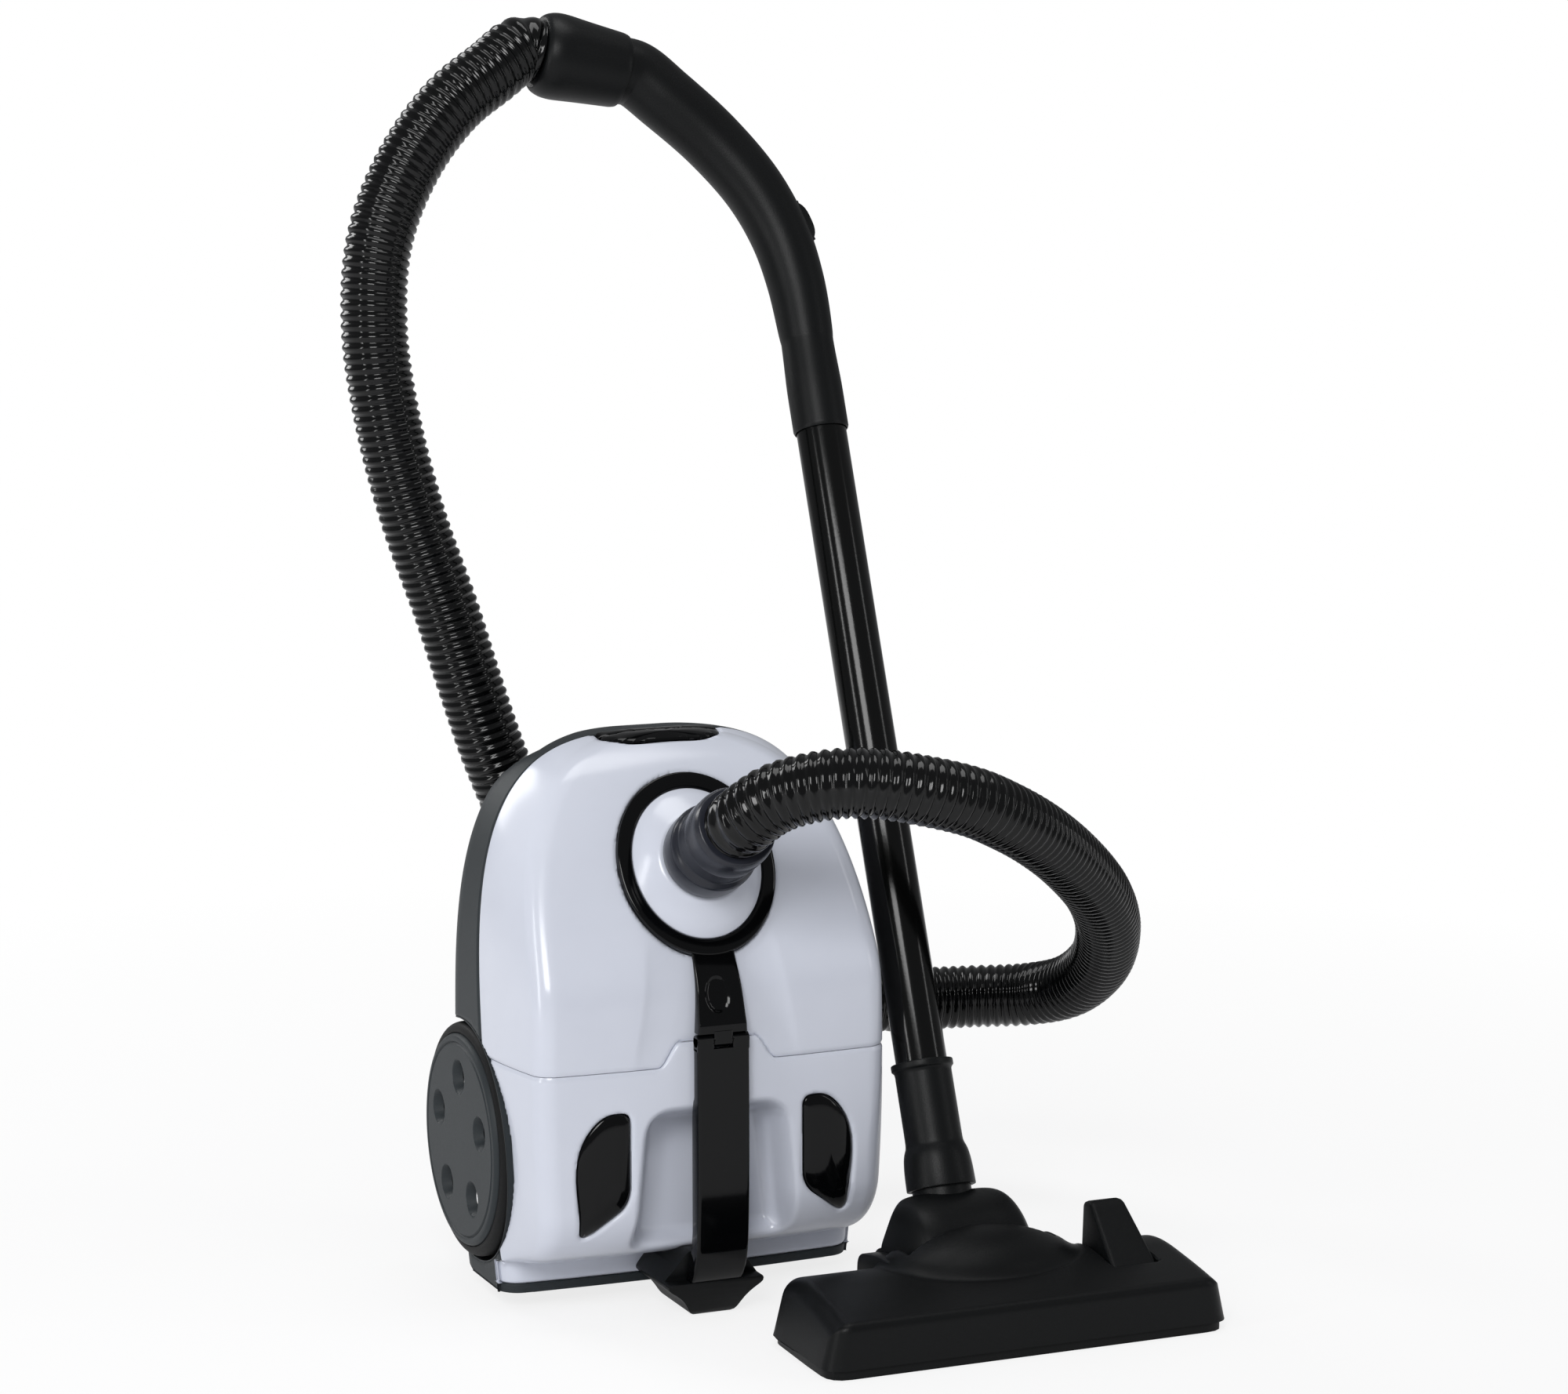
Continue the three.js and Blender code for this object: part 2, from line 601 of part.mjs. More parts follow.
function wheel(side) {
  const out = V3(side, 0, 0);
  const face = WHEEL_FACE_X;
  const web = face - 5;
  const disc = revolve(
    [
      [0, web - 2],
      [AXLE_RADIUS + FIT, web - 2],
      [AXLE_RADIUS + FIT, WHEEL_BACK_X - 1],
      [11, WHEEL_BACK_X - 1],
      [13, web],
      [RIM_RADIUS - 4, web],
      [RIM_RADIUS - 4, WHEEL_BACK_X],
      [RIM_RADIUS, WHEEL_BACK_X],
      [RIM_RADIUS, face - 2.5],
      [RIM_RADIUS - 1.5, face - 0.4],
      [RIM_RADIUS - 4.5, face],
      [RIM_RADIUS - 5.6, face - 1.2],
      [RIM_RADIUS - 7, face],
      [0, face],
    ],
    wheelCentre,
    out,
    FINE,
  );
  let wheelDisc = disc;
  for (let i = 0; i < WHEEL_HOLES; i += 1) {
    const angle = rad(90 + i * (360 / WHEEL_HOLES));
    const spoke = V3(0, Math.cos(angle), Math.sin(angle));
    const at = wheelCentre.clone().addScaledVector(spoke, WHEEL_HOLE_CIRCLE);
    const mouth = revolve(
      [
        [0, web - 3],
        [WHEEL_HOLE_RADIUS - 2.4, web - 3],
        [WHEEL_HOLE_RADIUS, face + 1],
        [0, face + 1],
      ],
      at,
      out,
      SMALL,
    );
    wheelDisc = wheelDisc.subtract(mouth);
  }
  return wheelDisc;
}

const tyre = (side) =>
  revolve(
    [
      [RIM_RADIUS + FIT, WHEEL_BACK_X],
      [WHEEL_RADIUS - 2, WHEEL_BACK_X],
      [WHEEL_RADIUS, WHEEL_BACK_X + 3],
      [WHEEL_RADIUS, WHEEL_FACE_X - 8],
      [WHEEL_RADIUS - 1.6, WHEEL_FACE_X - 4.5],
      [WHEEL_RADIUS - 4.5, WHEEL_FACE_X - 3],
      [RIM_RADIUS + FIT, WHEEL_FACE_X - 3],
    ],
    wheelCentre,
    V3(side, 0, 0),
    FINE,
  );

const wheelAxle = (side) =>
  drum(AXLE_RADIUS, wheelCentre, V3(side, 0, 0), AXLE_FROM, WHEEL_FACE_X - 7 - FIT, SMALL);

// ---------------------------------------------------------------- caster under the nose
const CASTER_TRAIL = 9;
const casterAxis = V3(0, 1, 0);
const casterHead = V3(0, 0, CASTER_Z);
const casterHub = V3(0, CASTER_REACH - 0.5 - CASTER_RADIUS, CASTER_Z - CASTER_TRAIL);

function casterFork() {
  const plate = drum(15, casterHead, casterAxis, 96, 100, ROUND);
  const stem = drum(4, casterHead, casterAxis, 84, 97, SMALL);
  const cheekShape = roundedOutline([
    [98, CASTER_Z + 8, 3],
    [98, CASTER_Z - 13, 3],
    [casterHub.y + 5, casterHub.z - 6, 5],
    [casterHub.y + 6, casterHub.z + 7, 5],
  ]);
  const cheeks = [-11.5, 8.5].map((x) => prismYZ(cheekShape, x, x + 3, 3));
  const room = drum(CASTER_RADIUS + 1.6, casterHub, acrossX, -8.5, 8.5, ROUND);
  const bore = drum(2 + FIT, casterHub, acrossX, -20, 20, SMALL);
  return union(plate, stem, ...cheeks).subtract(room).subtract(bore);
}

const casterWheel = () =>
  revolve(
    [
      [2 + FIT, -7.8],
      [CASTER_RADIUS - 2, -7.8],
      [CASTER_RADIUS, -5.5],
      [CASTER_RADIUS, 5.5],
      [CASTER_RADIUS - 2, 7.8],
      [2 + FIT, 7.8],
    ],
    casterHub,
    acrossX,
    ROUND,
  );

const casterPin = () => drum(2, casterHub, acrossX, -11.5, 11.5, SMALL);
const casterClip = () => pipe(8, 4 + FIT, casterHead, casterAxis, 85, 91.7, SMALL);

// ---------------------------------------------------------------- motor and air path
const MOTOR_X = 38;
const MOTOR_Y = 56;
const motorAt = V3(MOTOR_X, MOTOR_Y, 0);
const upZ = V3(0, 0, 1);
const INTAKE_RADIUS = 28;

function motorUnit() {
  const can = revolve(
    [
      [0, 66],
      [17, 66],
      [28, 70],
      [28, 108],
      [37, 111],
      [37, 144],
      [34, 148],
      [34, BULKHEAD_Z - FIT],
      [24, BULKHEAD_Z - FIT],
      [24, 140],
      [0, 140],
    ],
    motorAt,
    upZ,
    ROUND,
  );
  return can;
}

function motorFan() {
  const hub = drum(7, motorAt, upZ, 140.5, 149, SMALL);
  const plate = drum(22, motorAt, upZ, 140.5, 142, ROUND);
  const blades = [];
  for (let i = 0; i < 7; i += 1) {
    const geometry = new THREE.BoxGeometry(17, 1.4, 7);
    geometry.rotateZ(0.5).translate(13, 0, 145.2).rotateZ((i * 2 * Math.PI) / 7);
    blades.push(toSolid(geometry.translate(MOTOR_X, MOTOR_Y, 0)));
  }
  return union(hub, plate, ...blades).intersect(drum(23.3, motorAt, upZ, 0, FAR, FINE));
}

function motorMount() {
  const cup = pipe(24, 17.6, motorAt, upZ, BODY_BOTTOM + WALL + FIT, 66 - FIT, ROUND);
  const seat = pipe(27, 17.6, motorAt, upZ, BODY_BOTTOM + WALL + FIT, BODY_BOTTOM + WALL + 4, ROUND);
  const vents = [0, 1, 2].map((i) => {
    const geometry = new THREE.BoxGeometry(60, 10, 22).translate(0, 0, 32).rotateZ((i * Math.PI) / 3);
    return toSolid(geometry.translate(MOTOR_X, MOTOR_Y, 0));
  });
  return union(cup, seat).subtract(union(...vents));
}

const motorFilter = () => drum(INTAKE_RADIUS - FIT, motorAt, upZ, BULKHEAD_Z, BULKHEAD_Z + 3, ROUND);

// ---------------------------------------------------------------- dust bag
const collarAt = (d) => portPoint.clone().addScaledVector(portOut, d);
const portUp = V3(0, Math.sin(rad(PORT_TILT)), Math.cos(rad(PORT_TILT)));

function bagCollar() {
  const card = new THREE.BoxGeometry(76, 2, 70);
  const solid = toSolid(card.applyMatrix4(frameAlong(collarAt(-27), portOut)));
  return solid.subtract(drum(SPIGOT_BORE, portPoint, portOut, -40, 0, ROUND));
}

function dustBag() {
  const room = block(-84, 84, -FAR, 80, BULKHEAD_Z + 3 + FIT, 294);
  const sack = housing(13).intersect(room).subtract(drum(90, collarAt(-28 - FIT), portOut, 0, 90, ROUND));
  return sack.subtract(drum(INTAKE_RADIUS, motorAt, upZ, 0, BULKHEAD_Z + 4, ROUND));
}

function bagHolder() {
  const back = block(-34, 34, 80 + FIT, 83, BULKHEAD_Z + 3 + FIT, 301);
  const edge = portPoint.clone().addScaledVector(portOut, -26).addScaledVector(portUp, 35 + FIT);
  const shelf = block(-34, 34, edge.y - 1, 83, 298, 301);
  const lipTop = block(-34, 34, edge.y - 1, edge.y + 6, edge.z + 0.6, 301);
  return union(back, shelf, lipTop);
}

function lidSeal() {
  const band = lining.subtract(housing(WALL + 3)).intersect(inFrontOfSeam(-4)).subtract(inFrontOfSeam(1.5));
  return band.intersect(block(-FAR, FAR, -FAR, FAR, 184, FAR));
}

// ---------------------------------------------------------------- cord reel
const REEL_RADIUS = 50;
const REEL_END = AXLE_FROM - 11; // clears the end of the wheel axle
const REEL_Y = 60;
const REEL_Z = 98.5;
const reelAt = V3(0, REEL_Y, REEL_Z);
const cordReel = () =>
  revolve(
    [
      [3.4 + FIT, -REEL_END],
      [REEL_RADIUS, -REEL_END],
      [REEL_RADIUS, -REEL_END + 2],
      [REEL_RADIUS - 9, -REEL_END + 3],
      [REEL_RADIUS - 9, -33],
      [REEL_RADIUS, -32],
      [REEL_RADIUS, -30],
      [3.4 + FIT, -30],
    ],
    reelAt,
    acrossX,
    FINE,
  );
const reelAxle = () => drum(3.4, reelAt, acrossX, -WELL_WALL_X + FIT, -22, SMALL);

function reelBracket() {
  const plate = prismYZ(
    roundedOutline([
      [38, BODY_BOTTOM + WALL + FIT],
      [82, BODY_BOTTOM + WALL + FIT],
      [72, 112, 10],
      [50, 112, 10],
    ]),
    -28,
    -25,
  );
  const sole = block(-32, -22, 38, 76, BODY_BOTTOM + WALL + FIT, BODY_BOTTOM + WALL + 3);
  return union(plate, sole).subtract(drum(3.4 + FIT / 2, reelAt, acrossX, -40, 0, SMALL));
}

const glandAt = V3(-72, 74, 0);
const cordGland = () =>
  revolve(
    [
      [3.4, BODY_BOTTOM - 3.4],
      [12, BODY_BOTTOM - 3.4],
      [12, BODY_BOTTOM - FIT],
      [9, BODY_BOTTOM - FIT],
      [9, BODY_BOTTOM + 12],
      [3.4, BODY_BOTTOM + 12],
    ],
    glandAt,
    upZ,
    ROUND,
  );

// ---------------------------------------------------------------- exhaust and rear feet
const EXHAUST = { x0: -46, x1: 46, y0: 85, y1: 111 };
function exhaustGrille() {
  const { x0, x1, y0, y1 } = EXHAUST;
  let grille = block(x0 + FIT, x1 - FIT, y0 + FIT, y1 - FIT, BODY_BOTTOM, BODY_BOTTOM + WALL);
  for (let x = x0 + 6; x < x1 - 6; x += 8) {
    grille = grille.subtract(block(x, x + 4, y0 + 4, y1 - 4, 0, 32));
  }
  return grille;
}
function exhaustFilter() {
  const { x0, x1, y0, y1 } = EXHAUST;
  return block(x0 + 2, x1 - 2, y0 + 2, y1 - 2, BODY_BOTTOM + WALL + FIT, BODY_BOTTOM + 16);
}

const rearFoot = (side) =>
  revolve(
    [
      [0, 0],
      [9, 0],
      [11, 3],
      [11, BODY_BOTTOM - FIT],
      [0, BODY_BOTTOM - FIT],
    ],
    V3(side * 72, 103, 0),
    upZ,
    ROUND,
  );

// ---------------------------------------------------------------- hose and its two cuffs
const CONNECTOR_END = 73;
const HOSE_BORE = 16;
function hoseConnector() {
  return revolve(
    [
      [HOSE_BORE, 2.4],
      [SOCKET_RADIUS - 1 - RUN, 2.4],
      [SOCKET_RADIUS - 1 - RUN, DOME_RISE + FIT],
      [27, DOME_RISE + 1.5],
      [28, 20],
      [28, 34],
      [25, 38],
      [24.4, 50],
      [26, 51],
      [26, 68],
      [24.5, CONNECTOR_END],
      [HOSE_BORE, CONNECTOR_END],
    ],
    portPoint,
    portOut,
    ROUND,
  );
}

// Grip end and hose cuff share this axis; the cuff hangs off the end of the handle.
const gripEnd = V3(WAND_X - 105.5, 226, 759.5);
const cuffOut = V3(-0.975, 0.02, 0.2).normalize();
const CUFF_LENGTH = 54;
const hoseEnd = gripEnd.clone().addScaledVector(cuffOut, CUFF_LENGTH + FIT);
const hoseStart = collarAt(CONNECTOR_END + FIT);

const HOSE_ROUTE = [
  [14, -92, 332],
  [41, -110, 341],
  [67, -119, 341],
  [98, -123, 335],
  [129, -120, 326],
  [154, -111, 315],
  [183, -95, 300],
  [220, -67, 277],
  [265, -23, 243],
  [298, 25, 208],
  [317, 75, 174],
  [317, 118, 150],
  [303, 148, 140],
  [270, 169, 137],
  [227, 178, 137],
  [182, 181, 139],
  [130, 181, 146],
  [80, 180, 160],
  [35, 179, 184],
  [-8, 179, 220],
  [-42, 179, 268],
  [-65, 180, 318],
  [-82, 181, 368],
  [-97, 183, 417],
  [-118, 185, 478],
  [-133, 187, 538],
  [-140, 191, 597],
  [-134, 197, 652],
  [-112, 205, 699],
  [-80, 213, 737],
  [-50, 220, 758],
];
const HOSE_LEAD = 10; // the hose leaves each cuff straight for this far
const HOSE_SIDES = 10;
const HOSE_STEPS = 72;

function hose() {
  const points = [
    hoseStart,
    collarAt(CONNECTOR_END + HOSE_LEAD),
    ...HOSE_ROUTE.map(([x, y, z]) => V3(x, y, z)),
    hoseEnd.clone().addScaledVector(cuffOut, HOSE_LEAD),
    hoseEnd,
  ];
  const path = new THREE.CatmullRomCurve3(points, false, 'centripetal');
  const section = new THREE.Shape();
  for (let i = 0; i < HOSE_SIDES; i += 1) {
    const angle = (i * 2 * Math.PI) / HOSE_SIDES;
    const place = [HOSE_RADIUS * Math.cos(angle), HOSE_RADIUS * Math.sin(angle)];
    if (i === 0) {
      section.moveTo(...place);
    } else {
      section.lineTo(...place);
    }
  }
  section.closePath();
  const settings = { extrudePath: path, steps: HOSE_STEPS, bevelEnabled: false };
  return toSolid(new THREE.ExtrudeGeometry(section, settings));
}

function hoseCuff() {
  return revolve(
    [
      [22.3, -4],
      [23.6, -4],
      [24.4, -1],
      [26.4, 24],
      [28, 40],
      [27.4, 47],
      [25.4, 52],
      [23, CUFF_LENGTH],
      [HOSE_BORE, CUFF_LENGTH],
      [HOSE_BORE, 26.5],
      [22.3, 26.5],
    ],
    gripEnd,
    cuffOut,
    ROUND,
  );
}

// ---------------------------------------------------------------- wand and curved grip
const wandUp = V3(0, Math.sin(rad(WAND_LEAN)), Math.cos(rad(WAND_LEAN)));
const neckPivot = V3(WAND_X, NECK_Y, NECK_Z);
const onWand = (s) => neckPivot.clone().addScaledVector(wandUp, s);

const wandTube = () =>
  pipe(TUBE_RADIUS, TUBE_RADIUS - TUBE_WALL, neckPivot, wandUp, TUBE_FROM, TUBE_TO, ROUND);

const GRIP_ROUTE = [
  [-1.5, 170, 623],
  [-7.5, 182, 653],
  [-21, 194, 683],
  [-44.5, 208, 714],
  [-73, 219, 741],
]; // x is counted from the wand
const GRIP_SOCKET = 18; // radius at the mouth of the socket
const GRIP_WAIST = 17.2; // where the straight end meets the bend
const GRIP_END = 21.8; // under the hose cuff
const GRIP_BORE = 13;

// A round bar swept along a path with a radius that changes on the way.
function sweep(path, radiusAt, sides, steps) {
  const frames = path.computeFrenetFrames(steps, false);
  const sections = [];
  for (let i = 0; i <= steps; i += 1) {
    const middle = path.getPointAt(i / steps);
    const radius = radiusAt(i / steps);
    const ring = [];
    for (let k = 0; k < sides; k += 1) {
      const angle = (k * 2 * Math.PI) / sides;
      const point = middle.clone().addScaledVector(frames.normals[i], radius * Math.cos(angle));
      ring.push(point.addScaledVector(frames.binormals[i], radius * Math.sin(angle)));
    }
    sections.push(ring);
  }
  const solid = loft(sections);
  return solid.volume() < 0 ? loft(sections.reverse()) : solid;
}

function grip() {
  const straight = revolve(
    [
      [0, TUBE_TO - 26],
      [GRIP_SOCKET, TUBE_TO - 26],
      [GRIP_SOCKET, TUBE_TO - 4],
      [GRIP_WAIST, TUBE_TO + 34],
      [GRIP_WAIST, TUBE_TO + 42],
      [0, TUBE_TO + 42],
    ],
    neckPivot,
    wandUp,
  );
  const socket = drum(TUBE_RADIUS + FIT, neckPivot, wandUp, 0, TUBE_TO + FIT, ROUND);
  const end = drum(GRIP_END, gripEnd, cuffOut, -6, 26, ROUND);
  const points = [
    onWand(TUBE_TO + 30),
    onWand(TUBE_TO + 42),
    ...GRIP_ROUTE.map(([x, y, z]) => V3(WAND_X + x, y, z)),
    gripEnd.clone().addScaledVector(cuffOut, -14),
    gripEnd,
    gripEnd.clone().addScaledVector(cuffOut, 12),
  ];
  const path = new THREE.CatmullRomCurve3(points, false, 'centripetal');
  const swell = (share) => GRIP_WAIST - 0.2 + (GRIP_END - GRIP_WAIST) * Math.sqrt(share);
  const airway = union(
    sweep(path, () => GRIP_BORE, 8, 20),
    drum(GRIP_BORE - 0.6, neckPivot, wandUp, TUBE_TO - 5, TUBE_TO + 36, SMALL),
    drum(GRIP_BORE - 0.6, gripEnd, cuffOut, -4, 40, SMALL),
  );
  const body = union(sweep(path, swell, 12, 20), straight, end);
  return body.subtract(airway).subtract(socket).subtract(sliderSlot());
}

// The suction slider rides on the outside of the bend.
const SLIDER_FROM = V3(WAND_X + 14.5, 178, 642);
const SLIDER_TO = V3(WAND_X - 2, 194, 688);
const sliderRun = SLIDER_TO.clone().sub(SLIDER_FROM).normalize();
function sliderFrame() {
  const middle = SLIDER_FROM.clone().add(SLIDER_TO).multiplyScalar(0.5);
  const sideways = V3(0, Math.cos(rad(WAND_LEAN)), -Math.sin(rad(WAND_LEAN)));
  const out = new THREE.Vector3().crossVectors(sideways, sliderRun).normalize();
  const across = new THREE.Vector3().crossVectors(sliderRun, out);
  return new THREE.Matrix4().makeBasis(out, across, sliderRun).setPosition(middle);
}
function slab(x0, x1, y0, y1, z0, z1, frame) {
  const geometry = new THREE.BoxGeometry(x1 - x0, y1 - y0, z1 - z0);
  geometry.translate((x0 + x1) / 2, (y0 + y1) / 2, (z0 + z1) / 2);
  return toSolid(geometry.applyMatrix4(frame));
}
const sliderSlot = () => slab(-7, 20, -9, 9, -22, 22, sliderFrame());
function suctionSlider() {
  const frame = sliderFrame();
  const plate = slab(-7 + FIT, 1, -9 + RUN, 9 - RUN, -20, 8, frame);
  const button = new THREE.Shape();
  button.moveTo(0, -19);
  button.quadraticCurveTo(4.6, -16, 4.6, -8);
  button.lineTo(4.6, -4);
  button.quadraticCurveTo(4.6, 4, 0, 7);
  button.closePath();
  const crown = extruded(button, 16, 5);
  crown.applyMatrix4(new THREE.Matrix4().makeBasis(V3(1, 0, 0), V3(0, 0, 1), V3(0, -1, 0)));
  crown.translate(0, 8, 0).applyMatrix4(frame);
  return union(plate, toSolid(crown));
}

// ---------------------------------------------------------------- floor tool
const HOOD_RADIUS = 45;
const HOOD_HALF = 49;
const SPOUT_RADIUS = 18.5;
const SLEEVE_RADIUS = 18;
const CHEEK_HALF = HOOD_HALF + 10;
const TRUNNION = 6;

function sector(radius, from, to, x0, x1) {
  const shape = new THREE.Shape();
  shape.moveTo(NECK_Y, NECK_Z);
  for (let i = 0; i <= 16; i += 1) {
    const angle = rad(from + ((to - from) * i) / 16);
    shape.lineTo(NECK_Y + radius * Math.cos(angle), NECK_Z + radius * Math.sin(angle));
  }
  shape.closePath();
  return prismYZ(shape, x0, x1);
}

function neckHood() {
  const dome = revolve(
    [
      [0, -HOOD_HALF],
      [33, -HOOD_HALF],
      [40, -HOOD_HALF + 3],
      [HOOD_RADIUS - 1.4, -HOOD_HALF + 8],
      [HOOD_RADIUS, -HOOD_HALF + 15],
      [HOOD_RADIUS, HOOD_HALF - 15],
      [HOOD_RADIUS - 1.4, HOOD_HALF - 8],
      [40, HOOD_HALF - 3],
      [33, HOOD_HALF],
      [0, HOOD_HALF],
    ],
    neckPivot,
    acrossX,
    ROUND,
  ).intersect(union(sector(80, 80, 178, 0, FAR), drum(15, neckPivot, acrossX, -FAR, FAR)));
  const trunnions = drum(TRUNNION, neckPivot, acrossX, -CHEEK_HALF, CHEEK_HALF, SMALL);
  const spout = pipe(SPOUT_RADIUS, 14, neckPivot, wandUp, 20, 62, ROUND);
  return union(dome, trunnions, spout).subtract(drum(14, neckPivot, wandUp, 18, 80, ROUND));
}

function neckSleeve() {
  return revolve(
    [
      [SPOUT_RADIUS + FIT, 47],
      [21.8, 47],
      [21.4, 60],
      [20.2, 70],
      [SLEEVE_RADIUS, 75],
      [SLEEVE_RADIUS, 121],
      [19.6, 122.5],
      [19.6, 126.5],
      [TUBE_RADIUS + FIT, 126.5],
      [TUBE_RADIUS + FIT, TUBE_FROM - FIT],
      [14, TUBE_FROM - FIT],
      [14, 62 + FIT],
      [SPOUT_RADIUS + FIT, 62 + FIT],
    ],
    neckPivot,
    wandUp,
    ROUND,
  );
}

const TOOL_SIDE = [
  [TOOL_FRONT, 6],
  [TOOL_FRONT + 1, 33, 4],
  [TOOL_FRONT + 26, 38, 14],
  [-114, TOOL_HEIGHT, 14],
  [-93, TOOL_HEIGHT - 5, 9],
  [-90, 6],
];
const TOOL_MIDDLE = (TOOL_LEFT + TOOL_RIGHT) / 2;
const TOOL_TAPER = 2; // each rear corner stands in by this much
const TOOL_SLANT = 10; // and each end leans in by this much

function toolPlan(inset) {
  const left = TOOL_LEFT + inset;
  const right = TOOL_RIGHT - inset;
  const front = TOOL_FRONT + inset;
  return roundedOutline([
    [left, front, 14],
    [right, front, 14],
    [right, -150, 10],
    [right - TOOL_TAPER, -90 - inset, 8],
    [left + TOOL_TAPER, -90 - inset, 8],
    [left, -150, 10],
  ]);
}

function toolBody() {
  const head = prismYZ(roundedOutline(TOOL_SIDE), 0, FAR, 4).intersect(prismXY(toolPlan(0), 0, FAR, 4));
  const slant = prismXZ(
    roundedOutline([
      [TOOL_LEFT, 0],
      [TOOL_RIGHT, 0],
      [TOOL_RIGHT, 12],
      [TOOL_RIGHT - TOOL_SLANT, TOOL_HEIGHT + 4, 10],
      [TOOL_LEFT + TOOL_SLANT, TOOL_HEIGHT + 4, 10],
      [TOOL_LEFT, 12],
    ]),
    -FAR,
    FAR,
    3,
  );
  const saddle = revolve(
    [
      [0, -CHEEK_HALF],
      [26, -CHEEK_HALF],
      [47, -34],
      [49, 0],
      [47, 34],
      [26, CHEEK_HALF],
      [0, CHEEK_HALF],
    ],
    V3(TOOL_MIDDLE, NECK_Y - 34, 12),
    acrossX,
    FINE,
  ).intersect(block(0, FAR, -170, -76, 6, FAR));
  const cheeks = [-1, 1].map((side) => {
    const x0 = Math.min(side * (HOOD_HALF + RUN), side * (CHEEK_HALF + 2));
    const x1 = Math.max(side * (HOOD_HALF + RUN), side * (CHEEK_HALF + 2));
    return prismYZ(
      roundedOutline([
        [-110, 6],
        [NECK_Y + 11, 12, 8],
        [NECK_Y + 11, NECK_Z + 11, 9],
        [-96, 46],
        [-110, 46],
      ]),
      WAND_X + x0,
      WAND_X + x1,
      4,
    );
  });
  const hoodRoom = drum(HOOD_RADIUS + 1, neckPivot, acrossX, -HOOD_HALF - RUN, HOOD_HALF + RUN, FINE);
  const bores = drum(TRUNNION + FIT, neckPivot, acrossX, -FAR, FAR, SMALL);
  const chamber = block(TOOL_LEFT + 18, TOOL_RIGHT - 18, -168, -130, 0, 26);
  const duct = block(WAND_X - 24, WAND_X + 24, -131, -100, 8, 26);
  let body = union(head.intersect(slant), saddle, ...cheeks).subtract(hoodRoom).subtract(bores);
  body = body.subtract(chamber).subtract(duct).subtract(pedalRoom());
  [-1, 1].forEach((side) => {
    body = body.subtract(toolWheelRoom(side));
  });
  return body;
}

const SOLE_TOP = 6 - FIT;
function toolSole() {
  const plate = prismXY(toolPlan(2), 0, SOLE_TOP, 4);
  const mouth = block(TOOL_LEFT + 22, TOOL_RIGHT - 22, -150, -134, -1, 12);
  let sole = plate.subtract(mouth).subtract(block(TOOL_LEFT + 20, TOOL_RIGHT - 20, -168, -160, -1, 12));
  [-1, 1].forEach((side) => {
    sole = sole.subtract(toolWheelRoom(side));
  });
  const backEdge = block(0, FAR, NECK_Y - HOOD_RADIUS, FAR, -1, 12).intersect(
    block(WAND_X - HOOD_HALF - 1, WAND_X + HOOD_HALF + 1, -FAR, FAR, -1, 12),
  );
  return sole.subtract(backEdge);
}

const TOOL_WHEEL = 10;
const toolWheelAt = (side) => V3(TOOL_MIDDLE + side * 98, -104, TOOL_WHEEL);
const toolWheelRoom = (side) =>
  union(
    drum(TOOL_WHEEL + 1, toolWheelAt(side), acrossX, -6, 6, ROUND),
    drum(2 + FIT, toolWheelAt(side), acrossX, -9.3, 9.3, SMALL),
  );
const toolWheel = (side) =>
  union(
    drum(TOOL_WHEEL, toolWheelAt(side), acrossX, -5.2, 5.2, ROUND),
    drum(2, toolWheelAt(side), acrossX, -9, 9, SMALL),
  );

const PEDAL_X = WAND_X + 86.5;
const PEDAL_HALF = 15;
const PEDAL_TIP = 11.5; // half width at the top
const pedalPivot = V3(PEDAL_X, -118, 34);
const pedalRoom = () =>
  union(
    block(PEDAL_X - PEDAL_HALF - RUN, PEDAL_X + PEDAL_HALF + RUN, -150, -97.5, 28, FAR),
    block(PEDAL_X - PEDAL_HALF - RUN, PEDAL_X + PEDAL_HALF + RUN, -126, -102, 25, 30),
    drum(2.5 + FIT, pedalPivot, acrossX, -PEDAL_HALF - 4.3, PEDAL_HALF + 4.3, SMALL),
  );
function brushPedal() {
  const side = roundedOutline([
    [-149, 36],
    [-108, 69, 6],
    [-99, 66, 4],
    [-104, 30, 3],
    [-126, 29, 3],
    [-148, 32, 2],
  ]);
  const blade = prismYZ(side, PEDAL_X - PEDAL_HALF, PEDAL_X + PEDAL_HALF, 4);
  const front = roundedOutline([
    [PEDAL_X - PEDAL_HALF, 20],
    [PEDAL_X + PEDAL_HALF, 20],
    [PEDAL_X + PEDAL_HALF, 38, 6],
    [PEDAL_X + PEDAL_TIP, 70, 7],
    [PEDAL_X - PEDAL_TIP, 70, 7],
    [PEDAL_X - PEDAL_HALF, 38, 6],
  ]);
  const pin = drum(2.5, pedalPivot, acrossX, -PEDAL_HALF - 4, PEDAL_HALF + 4, SMALL);
  return union(blade.intersect(prismXZ(front, -FAR, FAR, 4)), pin);
}

function brushBar() {
  const bar = block(TOOL_LEFT + 21, TOOL_RIGHT - 21, -167.6, -161, 8, 14);
  const tuft = block(TOOL_LEFT + 23, TOOL_RIGHT - 23, -165.5, -162.5, 2.5, 9);
  return union(bar, tuft);
}

